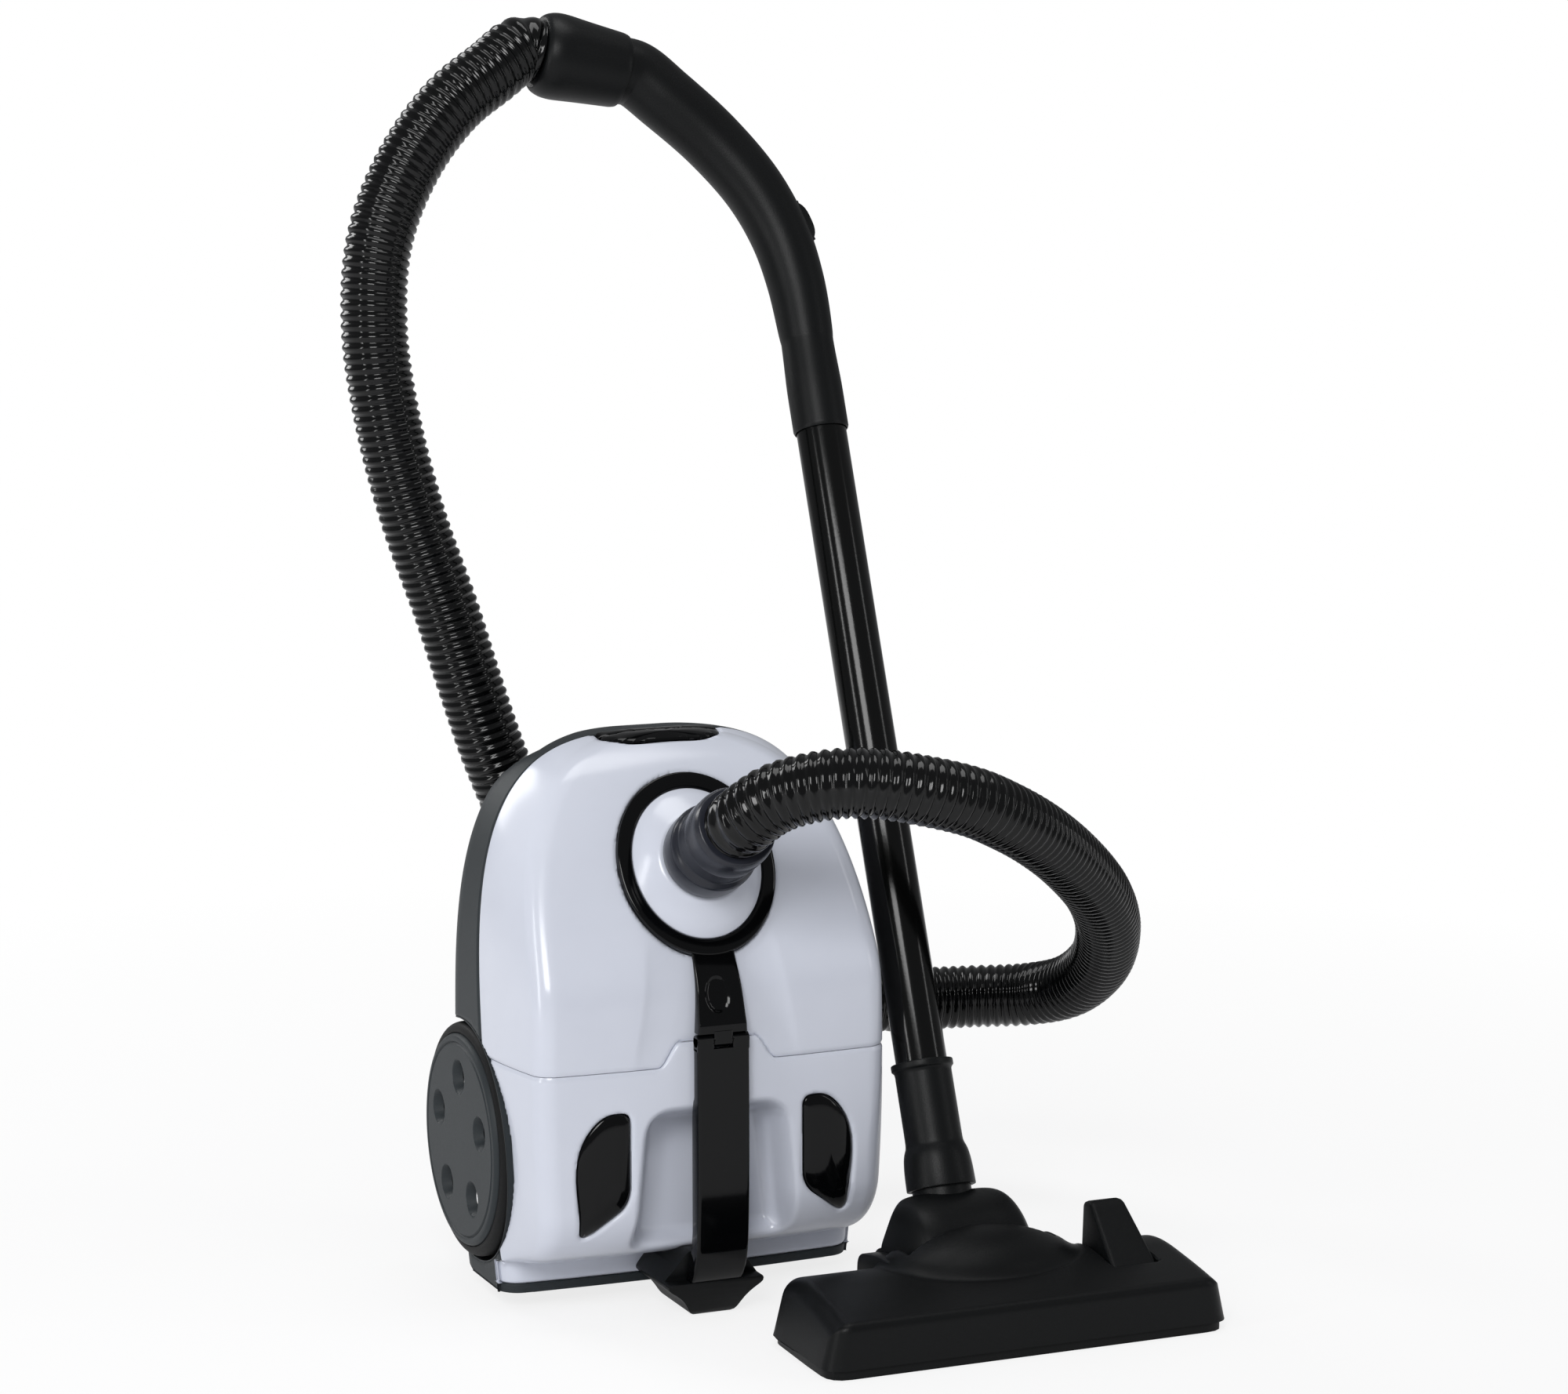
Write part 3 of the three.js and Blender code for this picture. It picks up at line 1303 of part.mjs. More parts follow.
add('chassis', chassis(), charcoal);
add('rear_cover', rearCover(), white);
add('lid', lid(), white);
add('lid_trim', lidTrim(), glossBlack);
add('carry_handle', carryHandle(), glossBlack);
add('lid_latch', lidLatch(), glossBlack);
add('front_foot', frontFoot(), matteBlack);
add('power_pedal', pedal(1), glossBlack);
add('rewind_pedal', pedal(-1), glossBlack);
for (const [side, name] of [[-1, 'left'], [1, 'right']]) {
  add(`wheel_${name}`, wheel(side), charcoal);
  add(`tyre_${name}`, tyre(side), rubber);
  add(`wheel_axle_${name}`, wheelAxle(side), steel);
  add(`rear_foot_${name}`, rearFoot(side), rubber);
  add(`tool_wheel_${name}`, toolWheel(side), rubber);
}
add('caster_fork', casterFork(), matteBlack);
add('caster_wheel', casterWheel(), rubber);
add('caster_pin', casterPin(), steel);
add('caster_clip', casterClip(), steel);
add('motor_unit', motorUnit(), motorGrey);
add('motor_fan', motorFan(), motorGrey);
add('motor_mount', motorMount(), rubber);
add('motor_filter', motorFilter(), foam);
add('dust_bag', dustBag(), paper);
add('bag_collar', bagCollar(), paper);
add('bag_holder', bagHolder(), charcoal);
add('lid_seal', lidSeal(), rubber);
add('cord_reel', cordReel(), charcoal);
add('reel_axle', reelAxle(), steel);
add('reel_bracket', reelBracket(), charcoal);
add('cord_gland', cordGland(), matteBlack);
add('exhaust_grille', exhaustGrille(), charcoal);
add('exhaust_filter', exhaustFilter(), foam);
add('hose_connector', hoseConnector(), cuffGrey);
add('hose', hose(), glossBlack);
add('hose_cuff', hoseCuff(), matteBlack);
add('grip', grip(), matteBlack);
add('suction_slider', suctionSlider(), matteBlack);
add('wand_tube', wandTube(), tubeBlack);
add('neck_sleeve', neckSleeve(), matteBlack);
add('neck_hood', neckHood(), matteBlack);
add('tool_body', toolBody(), matteBlack);
add('tool_sole', toolSole(), matteBlack);
add('brush_pedal', brushPedal(), matteBlack);
add('brush_bar', brushBar(), bristle);

export default model;
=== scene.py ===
# %% [markdown]
# # A canister vacuum cleaner, parked upright
# The appliance stands on its rear end, with its wand leaning beside it and its hose looped
# behind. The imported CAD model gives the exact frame: every body, node and joint. This lesson
# puts finer surfaces and real finishes on that frame, and never moves it.

import json
import math
from contextlib import contextmanager

import bmesh
import bpy
import numpy as np
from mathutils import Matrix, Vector, noise


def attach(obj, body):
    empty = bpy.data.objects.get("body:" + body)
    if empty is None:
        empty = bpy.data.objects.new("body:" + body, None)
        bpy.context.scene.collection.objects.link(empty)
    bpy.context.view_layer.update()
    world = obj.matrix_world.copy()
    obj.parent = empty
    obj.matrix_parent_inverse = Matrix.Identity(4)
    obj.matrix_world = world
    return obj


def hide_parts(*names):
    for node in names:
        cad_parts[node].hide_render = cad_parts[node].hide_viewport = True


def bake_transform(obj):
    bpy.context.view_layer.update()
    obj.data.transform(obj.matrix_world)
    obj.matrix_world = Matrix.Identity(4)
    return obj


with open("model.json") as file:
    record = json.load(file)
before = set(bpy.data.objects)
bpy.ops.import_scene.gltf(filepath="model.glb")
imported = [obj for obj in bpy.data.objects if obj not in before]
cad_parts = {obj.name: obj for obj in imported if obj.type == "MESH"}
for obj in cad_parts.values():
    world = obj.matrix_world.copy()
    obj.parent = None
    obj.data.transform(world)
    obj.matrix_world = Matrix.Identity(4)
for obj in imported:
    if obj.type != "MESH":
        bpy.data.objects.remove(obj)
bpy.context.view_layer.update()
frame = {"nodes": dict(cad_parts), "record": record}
MM = 0.001

# %% [markdown]
# ## Camera
# A long lens from about 2.5 m gives the gentle perspective of a catalogue picture: the
# camera stands a little left of the front and a little above the middle of the object.

# %% Camera
CAMERA_AT = Vector((-944, -2315, 745.5)) * MM
CAMERA_AIM = Vector((38.8, -45, 384.6)) * MM
LENS, SENSOR = 95.3, 36


def new_object(name, data):
    """An object in the scene's own collection."""
    thing = bpy.data.objects.new(name, data)
    bpy.context.scene.collection.objects.link(thing)
    return thing


def aim(thing, place, target):
    """Places a camera or lamp and turns it, because both look along their own -Z."""
    thing.location = place
    thing.rotation_mode = "QUATERNION"
    thing.rotation_quaternion = (Vector(target) - Vector(place)).to_track_quat("-Z", "Y")


camera = new_object("camera", bpy.data.cameras.new("camera"))
camera.data.sensor_width = SENSOR
camera.data.lens = LENS
camera.data.clip_end = 50
aim(camera, CAMERA_AT, CAMERA_AIM)
bpy.context.scene.camera = camera
print("camera at", [round(v, 3) for v in camera.location])

# %% [markdown]
# ## Mesh helpers
# Most pieces here are swept or turned: a list of rings of equal length, skinned in order.
# One function skins rings, one turns a profile about an axis, and one joins pieces. Angles
# for shading are in degrees: an edge sharper than that keeps its crease.

# %% Skin, turn and join
SAME_POINT = 1e-6


def shade(mesh, angle):
    mesh.polygons.foreach_set("use_smooth", [True] * len(mesh.polygons))
    if angle:
        mesh.set_sharp_from_angle(angle=math.radians(angle))


def new_piece(name, mesh, angle=35):
    shade(mesh, angle)
    return new_object(name, mesh)


@contextmanager
def editing(mesh):
    """Opens a mesh for bmesh work, and writes it back when the block ends."""
    work = bmesh.new()
    work.from_mesh(mesh)
    yield work
    work.to_mesh(mesh)
    work.free()


def skin_rings(name, rings, closed=False, caps=True, angle=35):
    count = len(rings[0])
    verts = [tuple(v) for ring in rings for v in ring]
    faces = []
    for r in range(len(rings) if closed else len(rings) - 1):
        a, b = r * count, ((r + 1) % len(rings)) * count
        for i in range(count):
            j = (i + 1) % count
            faces.append((a + i, a + j, b + j, b + i))
    if caps and not closed:
        faces.append(tuple(range(count - 1, -1, -1)))
        faces.append(tuple(range(len(verts) - count, len(verts))))
    mesh = bpy.data.meshes.new(name)
    mesh.from_pydata(verts, [], faces)
    mesh.validate()
    return new_piece(name, mesh, angle)


def circle(centre, u, v, radius, sides):
    """Points round a centre, on two axes in metres, at a radius in mm."""
    turns = [2 * math.pi * k / sides for k in range(sides)]
    return [centre + (u * math.cos(a) + v * math.sin(a)) * radius * MM for a in turns]


def turn_profile(name, profile, origin, direction, sides=96):
    """Turns (radius, distance) pairs in mm about an axis. The profile closes on itself."""
    d = Vector(direction).normalized()
    u = d.cross(Vector((0, 0, 1)) if abs(d.z) < 0.9 else Vector((1, 0, 0))).normalized()
    v = d.cross(u).normalized()
    rings = [circle(origin + d * along * MM, u, v, radius, sides) for radius, along in profile]
    piece = skin_rings(name, rings, closed=True)
    with editing(piece.data) as work:
        bmesh.ops.remove_doubles(work, verts=work.verts, dist=SAME_POINT)
        bmesh.ops.recalc_face_normals(work, faces=work.faces)
    shade(piece.data, 35)
    return piece


def join_pieces(name, pieces):
    """One piece from several: their meshes are written into a single new mesh."""
    mesh = bpy.data.meshes.new(name)
    with editing(mesh) as work:
        for piece in pieces:
            work.from_mesh(piece.data)
            bpy.data.objects.remove(piece)
    return new_piece(name, mesh)


SLOT_OF = {}


def placed(piece, body, node, slot):
    """Fixes a finer piece to its body, mostly in place of a CAD node, and notes its finish."""
    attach(piece, body)
    if node:
        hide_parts(node)
    SLOT_OF[piece.name] = slot
    print(piece.name, "faces:", len(piece.data.polygons))


# %% [markdown]
# ## Paths
# A bent tube or a hose follows one smooth curve. A centripetal curve passes through every
# point without the loops that unevenly spaced points give. It is then walked in equal steps,
# because rings an equal step apart make even ribs and even faces.

# %% Smooth and even paths
PER_SPAN = 24


def centripetal_path(points):
    """A smooth curve through points, with even speed between unevenly spaced ones."""
    pts = [Vector(p) for p in points]
    pts = [2 * pts[0] - pts[1], *pts, 2 * pts[-1] - pts[-2]]
    path = []
    for p0, p1, p2, p3 in zip(pts, pts[1:], pts[2:], pts[3:]):
        t1 = (p1 - p0).length ** 0.5
        t2 = t1 + (p2 - p1).length ** 0.5
        t3 = t2 + (p3 - p2).length ** 0.5
        for k in range(PER_SPAN):
            t = t1 + (t2 - t1) * k / PER_SPAN
            a1 = p0.lerp(p1, t / t1)
            a2 = p1.lerp(p2, (t - t1) / (t2 - t1))
            a3 = p2.lerp(p3, (t - t2) / (t3 - t2))
            b1 = a1.lerp(a2, t / t2)
            b2 = a2.lerp(a3, (t - t1) / (t3 - t1))
            path.append(b1.lerp(b2, (t - t1) / (t2 - t1)))
    return path + [pts[-2]]


def evenly(path, step=None, count=None):
    """The same path in equal steps, by their size or their number, and its length."""
    total = sum((b - a).length for a, b in zip(path, path[1:]))
    count = count or max(2, round(total / step))
    out, due, run = [path[0]], total / count, 0.0
    for a, b in zip(path, path[1:]):
        span = (b - a).length
        while run + span >= due - 1e-9 and len(out) < count:
            out.append(a.lerp(b, (due - run) / span))
            due += total / count
        run += span
    return out + [path[-1]], total


def carried_frames(path):
    """Each point with a pair of axes across the path, carried along without twist."""
    frames = []
    side = Vector((1, 0, 0))
    for i, p in enumerate(path):
        d = (path[min(i + 1, len(path) - 1)] - path[max(i - 1, 0)]).normalized()
        side = (side - d * side.dot(d)).normalized()
        frames.append((p, side, d.cross(side).normalized()))
    return frames


# %% [markdown]
# ## The hose
# A stretch hose is a coil of wire in thin vinyl: the skin stands out over each turn and
# dips between turns. The ridge is one helix, so each ring is turned a little further along
# it than the last. The route leaves the port forwards, loops round the wand's right, runs
# behind the housing and climbs to the handle.

# %% The hose's route
PORT_Z = 278
PORT = Vector((0, 0, PORT_Z)) * MM
PORT_TILT = math.radians(27.5)
PORT_OUT = Vector((0, -math.cos(PORT_TILT), math.sin(PORT_TILT)))
GRIP_END = Vector((36, 226, 759.5)) * MM
CUFF_OUT = Vector((-0.975, 0.02, 0.2)).normalized()
FIT, CONNECTOR_END, CUFF_LENGTH, HOSE_LEAD = 0.3, 73, 54, 10
HOSE_START = PORT + PORT_OUT * (CONNECTOR_END + FIT) * MM
HOSE_END = GRIP_END + CUFF_OUT * (CUFF_LENGTH + FIT) * MM
HOSE_ROUTE = [
    (14, -92, 332), (41, -110, 341), (67, -119, 341), (98, -123, 335), (129, -120, 326),
    (154, -111, 315), (183, -95, 300), (220, -67, 277), (265, -23, 243), (298, 25, 208),
    (317, 75, 174), (317, 118, 150), (303, 148, 140), (270, 169, 137), (227, 178, 137),
    (182, 181, 139), (130, 181, 146), (80, 180, 160), (35, 179, 184), (-8, 179, 220),
    (-42, 179, 268), (-65, 180, 318), (-82, 181, 368), (-97, 183, 417), (-118, 185, 478),
    (-133, 187, 538), (-140, 191, 597), (-134, 197, 652), (-112, 205, 699), (-80, 213, 737),
    (-50, 220, 758),
]
HOSE_RADIUS, RIB_PITCH, RIB_DEPTH = 21.3, 6.3, 2.1
RINGS_PER_RIB, HOSE_SIDES = 6, 28

route = [
    HOSE_START,
    PORT + PORT_OUT * (CONNECTOR_END + HOSE_LEAD) * MM,
    *[Vector(p) * MM for p in HOSE_ROUTE],
    HOSE_END + CUFF_OUT * HOSE_LEAD * MM,
    HOSE_END,
]
hose_path, hose_length = evenly(centripetal_path(route), RIB_PITCH * MM / RINGS_PER_RIB)
print("hose:", len(hose_path), "rings, length", round(hose_length, 3), "m")


# %% The ribbed tube
def rib_height(turns):
    """0 in the groove and 1 on the ridge, with a rounded ridge and a narrower groove."""
    phase = turns - math.floor(turns)
    return (0.5 - 0.5 * math.cos(2 * math.pi * phase)) ** 0.6


hose_rings = []
for i, (centre, side, up) in enumerate(carried_frames(hose_path)):
    ring = []
    for k in range(HOSE_SIDES):
        part = k / HOSE_SIDES
        angle = 2 * math.pi * part
        radius = HOSE_RADIUS - RIB_DEPTH * (1 - rib_height(i / RINGS_PER_RIB + part))
        ring.append(centre + (side * math.cos(angle) + up * math.sin(angle)) * radius * MM)
    hose_rings.append(ring)
hose = skin_rings("ribbed_hose", hose_rings, angle=0)
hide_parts("hose")
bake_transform(hose)
print("hose faces:", len(hose.data.polygons))


# %% [markdown]
# ## The housing's form
# The cover is one moulded form: a crowned front that slopes back to the nose, a soft crease
# near each side, and a heel that curls under. It could be modelled by hand with subdivision,
# but a formula keeps lid, rear cover and chassis on one surface, so they meet without a
# step. The form is written as a smooth section at each height, all in millimetres.

# %% Sections at each height
BODY_WIDTH, BODY_TOP, BODY_BOTTOM = 250, 352, 11
ARCH_FROM, ARCH_POWER, BASE_TUCK = 150, 3.3, 8
FACE_Y, SLOPE_FROM, SLOPE, SLOPE_BLEND = -35, 210, 0.52, 12
NOSE_FROM, NOSE_CURL = 325, 0.02
HEEL_TOP, HEEL_FOOT, HEEL_DEPTH = 76, 32, 60
CREASE_IN, HEEL_CREASE_IN, CROWN, SHOULDER, SIDE_BOW = 14, 5.2, 4.2, 13, 1.4
SEAM_Y, SEAM_LEAN, PARTING_Z = 45, 0.13, 160
BACK_Y, BACK_RADIUS, BACK_CURL_FROM, BACK_CURL = 120, 32, 312, 0.023
PAST_SEAM = 1.5


def ease(t):
    """0 to 1 with a level start and a level end."""
    return t * t * (3 - 2 * t)


def half_width(z):
    low = BASE_TUCK * np.clip((ARCH_FROM - z) / (ARCH_FROM - BODY_BOTTOM), 0, 1) ** 2
    rise = np.clip((z - ARCH_FROM) / (BODY_TOP - ARCH_FROM), 0, 0.9995)
    return BODY_WIDTH / 2 * (1 - rise**ARCH_POWER) ** (1 / ARCH_POWER) - low


def face_y(z):
    ramp = 0.5 * (z - SLOPE_FROM + np.hypot(z - SLOPE_FROM, SLOPE_BLEND))
    nose = NOSE_CURL * np.maximum(0, z - NOSE_FROM) ** 2
    drop = np.clip((HEEL_TOP - z) / (HEEL_TOP - HEEL_FOOT), 0, 1)
    return FACE_Y + SLOPE * ramp + nose + HEEL_DEPTH * (1 - np.sqrt(1 - drop**2))


def seam_y(z):
    return np.maximum(SEAM_Y + SEAM_LEAN * (z - PARTING_Z), face_y(z) + SHOULDER)


def back_y(z):
    return BACK_Y - BACK_CURL * np.maximum(0, z - BACK_CURL_FROM) ** 2


def front_half(z, past):
    """The section from the middle of the front to a little past the seam, as (x, y) points."""
    w, f, s = half_width(z), face_y(z), seam_y(z)
    crease = w - (HEEL_CREASE_IN if z < HEEL_FOOT + 0.5 else np.minimum(CREASE_IN, 0.3 * w))
    crown = [(crease - 8) * k / 58 for k in range(59)]
    points = [(x, f + CROWN * (x / crease) ** 2) for x in crown]
    start, corner, end = points[-1], (crease + 0.6, f + 4.6), (crease + 4.6, f + SHOULDER)
    for k in range(1, 11):
        t = k / 10
        bend = zip(start, corner, end)
        points.append(tuple((1 - t) ** 2 * a + 2 * t * (1 - t) * b + t * t * c for a, b, c in bend))
    for k in range(1, 41):
        t = k / 40 * (1 + past / 40)
        bow = 4 * SIDE_BOW * min(t, 1) * (1 - min(t, 1))
        points.append((end[0] + (w - end[0]) * min(t, 1) + bow, end[1] + (s - end[1]) * t))
    return points


def back_half(z, past):
    """The section from a little before the seam to the middle of the back."""
    w, s = half_width(z), seam_y(z)
    r = np.minimum(BACK_RADIUS, 0.6 * w)
    b = np.maximum(back_y(z), s + r + 2)
    side = [(w, s - past + (b - r - s + past) * k / 24) for k in range(25)]
    turn = [math.pi / 2 * k / 18 for k in range(1, 19)]
    arc = [(w - r + r * math.cos(a), b - r + r * math.sin(a)) for a in turn]
    across = [((w - r) * (1 - k / 36), b) for k in range(1, 37)]
    return side + arc + across


def section_grid(half, heights):
    """Whole sections at many heights, as rows of points, closed over at the very top."""
    rows = []
    for z in heights:
        right = [(x, y, z) for x, y in half(z, PAST_SEAM)]
        left = [(-x, y, z) for x, y, z in right]
        rows.append(left[:0:-1] + right if half is front_half else right + left[-2::-1])
    if heights[-1] > BODY_TOP - 1:
        last, centre = np.array(rows[-1], dtype=float), np.array([0, seam_y(BODY_TOP), BODY_TOP])
        shares = (0.9, 0.75, 0.6, 0.45, 0.3, 0.15, 0.01)
        rows += [centre + (last - centre) * share for share in shares]
    return np.array(rows, dtype=float)


def nose_heights(start, step):
    """Even steps, then closer and closer ones where the nose rounds over."""
    nose = 46
    low = np.arange(start, BODY_TOP - nose, step)
    return np.concatenate([low, BODY_TOP - nose * (1 - np.linspace(0, 1, 44)) ** 2.1])


print("housing at its middle:", round(float(2 * half_width(PARTING_Z)), 1), "mm wide")

# %% [markdown]
# ## Edges
# Each moulding stops at real edges: the parting line, the seam, the wheel arches and its
# openings. An edge is written as a distance in millimetres, positive where the plastic
# stays, so that edges combine by taking the smallest.

# %% Edges as distances
WHEEL_RADIUS, WHEEL_Y, WHEEL_Z = 73.5, 80, 98.5
WELL_X, WELL_RADIUS = BODY_WIDTH / 2 - 24, WHEEL_RADIUS + 3
PORT_UP = Vector((0, math.sin(PORT_TILT), math.cos(PORT_TILT)))
RING_RADIUS, RING_STRETCH = 51, 1.157
SEAM_GAP, OPENING_GAP, FAR_AWAY = 0.2, 0.6, 50
PARTING_RISE, PARTING_HALF, PARTING_RAMP = 15, 38.5, 14


def rounded_polygon(corners, steps=6):
    """Points round a closed outline whose corners (x, z, radius) are rounded."""
    points = []
    for i, (x, z, radius) in enumerate(corners):
        here = Vector((x, z))
        if not radius:
            points.append(tuple(here))
            continue
        back = Vector(corners[i - 1][:2]) - here
        ahead = Vector(corners[(i + 1) % len(corners)][:2]) - here
        start = here + back.normalized() * min(radius, back.length / 2)
        end = here + ahead.normalized() * min(radius, ahead.length / 2)
        for k in range(steps + 1):
            t = k / steps
            points.append(tuple((1 - t) ** 2 * start + 2 * t * (1 - t) * here + t * t * end))
    return points


def outline_distance(points, x, z):
    """Signed distance to a closed outline: negative inside it."""
    a = np.array(points, dtype=float)
    run = np.roll(a, -1, axis=0) - a
    run_x, run_z = run.T
    off_x, off_z = np.asarray(x)[..., None] - a[:, 0], np.asarray(z)[..., None] - a[:, 1]
    along = (off_x * run_x + off_z * run_z) / np.maximum((run**2).sum(axis=1), 1e-12)
    t = np.clip(along, 0, 1)
    nearest = np.hypot(off_x - t * run_x, off_z - t * run_z).min(axis=-1)
    crosses = (off_z < 0) != (off_z < run_z)
    at = off_z * run_x / np.where(np.abs(run_z) < 1e-12, 1e-12, run_z)
    inside = (crosses & (off_x < at)).sum(axis=-1) % 2 == 1
    return np.where(inside, -nearest, nearest)


def parting_height(x):
    """The parting line: level, but stepping up to the hinge in the middle."""
    ramp = ease(np.clip((PARTING_HALF - np.abs(x)) / PARTING_RAMP, 0, 1))
    return PARTING_Z + PARTING_RISE * ramp


def before_seam(x, y, z):
    return seam_y(z) - y - SEAM_GAP


def well_edge(x, y, z):
    from_axle = np.hypot(y - WHEEL_Y, z - WHEEL_Z) - WELL_RADIUS
    return np.maximum(from_axle, WELL_X - np.abs(x))


def ring_edge(x, y, z):
    """Clear of the port's ring: an oval in the plane square to the port's axis."""
    up = y * PORT_UP.y + (z - PORT_Z) * PORT_UP.z
    return np.hypot(x, up / RING_STRETCH) - RING_RADIUS - SEAM_GAP


# %% [markdown]
# ## Skins
# A moulding could be cut out with booleans, but those leave slivers that spoil the shading
# of a glossy surface. Here a fine grid on the form is trimmed instead: the grid's points
# nearest to an edge slide onto it, the rim is rounded over, and a narrow wall turns inwards.
# The inner walls and ribs are the CAD node's own, brought in under the skin.

# %% Trim a grid along its edges
WALL, MIDDLE_Y = 2.6, 60


def snapped(grid, values):
    """Slides the points nearest to the edge onto it, and tells which ones moved."""
    place, nearest = grid.copy(), np.full(values.shape, 1.0)
    for dr, dc in ((0, 1), (1, 0)):
        for r in range(values.shape[0] - dr):
            for c in range(values.shape[1] - dc):
                a, b = (r, c), (r + dr, c + dc)
                if (values[a] < 0) == (values[b] < 0):
                    continue
                t = values[a] / (values[a] - values[b])
                near, share = (a, t) if t < 0.5 else (b, 1 - t)
                if share < nearest[near]:
                    nearest[near] = share
                    place[near] = grid[a] + (grid[b] - grid[a]) * t
    return place, nearest < 1


def kept_faces(values, keep, on_rim):
    """The grid's squares that stay, or triangles where one corner is cut off."""
    index = np.full(values.shape, -1)
    index[keep] = np.arange(keep.sum())
    faces = []
    for r in range(values.shape[0] - 1):
        for c in range(values.shape[1] - 1):
            corners = [(r, c), (r, c + 1), (r + 1, c + 1), (r + 1, c)]
            kept = [k for k in corners if keep[k]]
            only_rim = all(on_rim[k] for k in kept)
            if len(kept) < 3 or only_rim and np.mean([values[k] for k in corners]) < 0:
                continue
            faces.append(tuple(int(index[k]) for k in kept))
    return faces


def trimmed_skin(name, grid, cuts, edge=0.9, wall=WALL, proud=0, upright=None):
    """Keeps a grid where every cut is positive, rounds its rim and turns the rim inwards.

    The rim turns in square to the surface, or straight down where upright says so."""
    x, y, z = np.moveaxis(grid, 2, 0)
    values = np.array([cut(x, y, z) for cut in cuts]).min(axis=0)
    place, on_rim = snapped(grid, values)
    keep = ~(values < 0) | on_rim
    mesh = bpy.data.meshes.new(name)
    mesh.from_pydata(
        [tuple(p) for p in place[keep] * MM], [], kept_faces(values, keep, on_rim)
    )
    with editing(mesh) as work:
        work.verts.ensure_lookup_table()
        depth = np.where(on_rim, 0, values)[keep]
        bmesh.ops.recalc_face_normals(work, faces=work.faces)
        work.normal_update()
        normals = [v.normal.copy() for v in work.verts]
        from_middle = [v.co - Vector((0, MIDDLE_Y * MM, v.co.z)) for v in work.verts]
        outwards = 1 if sum(m.dot(n) for m, n in zip(from_middle, normals)) > 0 else -1
        if outwards < 0:
            bmesh.ops.reverse_faces(work, faces=work.faces)
        for v, n, d in zip(work.verts, normals, depth):
            v.co += n * outwards * proud * MM
            if d < edge:
                v.co -= n * outwards * edge * (1 - math.sqrt(max(0, 1 - (1 - d / edge) ** 2))) * MM
        rim = [e for e in work.edges if len(e.link_faces) == 1]
        normal_at = {tuple(round(c, 7) for c in v.co): n for v, n in zip(work.verts, normals)}
        inner = {}
        for v in [v for e in rim for v in e.verts]:
            if v not in inner:
                square = normal_at[tuple(round(c, 7) for c in v.co)] * outwards
                inwards = Vector((0, 0, 1)) if upright and upright(v.co / MM) else square
                inner[v] = work.verts.new(v.co - inwards * wall * MM)
        for loop in [e.link_loops[0] for e in rim]:
            a, b = loop.vert, loop.link_loop_next.vert
            work.faces.new((b, a, inner[a], inner[b]))
        loose = [v for v in work.verts if not v.link_faces]
        bmesh.ops.delete(work, geom=loose, context="VERTS")
    return new_piece(name, mesh, 38)


# %% Inner walls from the CAD
SKIN_DEPTH = 1.75
SECTIONS = {}


def section_gap(x, y, z):
    """Distance from a point to the housing's outline at a height: negative inside it."""
    level = round(min(z, BODY_TOP), 1)
    if level not in SECTIONS:
        outline = front_half(np.float64(level), 0) + back_half(np.float64(level), 0)
        SECTIONS[level] = outline + [(-60, outline[-1][1]), (-60, outline[0][1])]
    return outline_distance(SECTIONS[level], abs(x), y)


def hidden_by_skin(x, y, z):
    """Whether a CAD point is part of the outer faces that a finer skin replaces."""
    if z < BODY_BOTTOM + 0.5:
        return False
    if z < HEEL_FOOT + 1 and y < 40 and abs(x) > float(half_width(np.float64(z))) - 16:
        return True
    over_nose = z > 300 and section_gap(x, y, z + SKIN_DEPTH) > -0.3
    return over_nose or section_gap(x, y, z) > -SKIN_DEPTH


def add_inside(piece, node):
    """Brings in the CAD node's own inner walls: what lies under its outer skin."""
    mesh = bpy.data.meshes.new(piece.name)
    with editing(mesh) as work:
        work.from_mesh(frame["nodes"][node].data)
        hidden = [v for v in work.verts if hidden_by_skin(*(v.co / MM))]
        bmesh.ops.delete(work, geom=hidden, context="VERTS")
        work.from_mesh(piece.data)
    piece.data = mesh
    shade(mesh, 38)


# %% [markdown]
# ## Lid
# The lid is the upper half of the cover. A shallow valley between two creases runs down its
# middle, and it is open at the port and at the latch. Pressing the valley into the grid
# before trimming keeps the creases soft, as a mould leaves them.

# %% Lid
LATCH_OUTLINE = rounded_polygon([
    (-40, 72, 0), (-40, 57, 7), (-27, 47, 12), (27, 47, 12), (40, 57, 7), (40, 72, 0),
])
VALLEY_DEPTH, VALLEY_SOFTNESS, VALLEY_HALF, VALLEY_NARROWING = 2.6, 9, 54, 12
VALLEY_TOP, VALLEY_FADE = 246, 26


def lid_dip(grid):
    x, y, z = np.moveaxis(grid, 2, 0)
    crease = VALLEY_HALF - VALLEY_NARROWING * np.clip((z - 163) / 72, 0, 1)
    inside = np.maximum(0, crease - np.abs(x))
    depth = VALLEY_DEPTH * (1 - np.exp(-inside / VALLEY_SOFTNESS))
    faded = ease(np.clip((VALLEY_TOP - z) / VALLEY_FADE, 0, 1))
    y += depth * faded * np.clip(0.45 + (z - PARTING_Z) / 30, 0.45, 1)
    return grid


def latch_edge(x, y, z):
    return np.where(z > 300, outline_distance(LATCH_OUTLINE, x, y) - OPENING_GAP, FAR_AWAY)


lid_skin = trimmed_skin(
    "lid_moulding",
    lid_dip(section_grid(front_half, nose_heights(PARTING_Z - 1.4, 1.7))),
    [
        lambda x, y, z: z - parting_height(x) - SEAM_GAP,
        before_seam, ring_edge, latch_edge, well_edge,
    ],
    upright=lambda p: p.z > 330 and p.y < 69 and abs(p.x) < 42,
)
add_inside(lid_skin, "lid")
print("lid faces:", len(lid_skin.data.polygons))

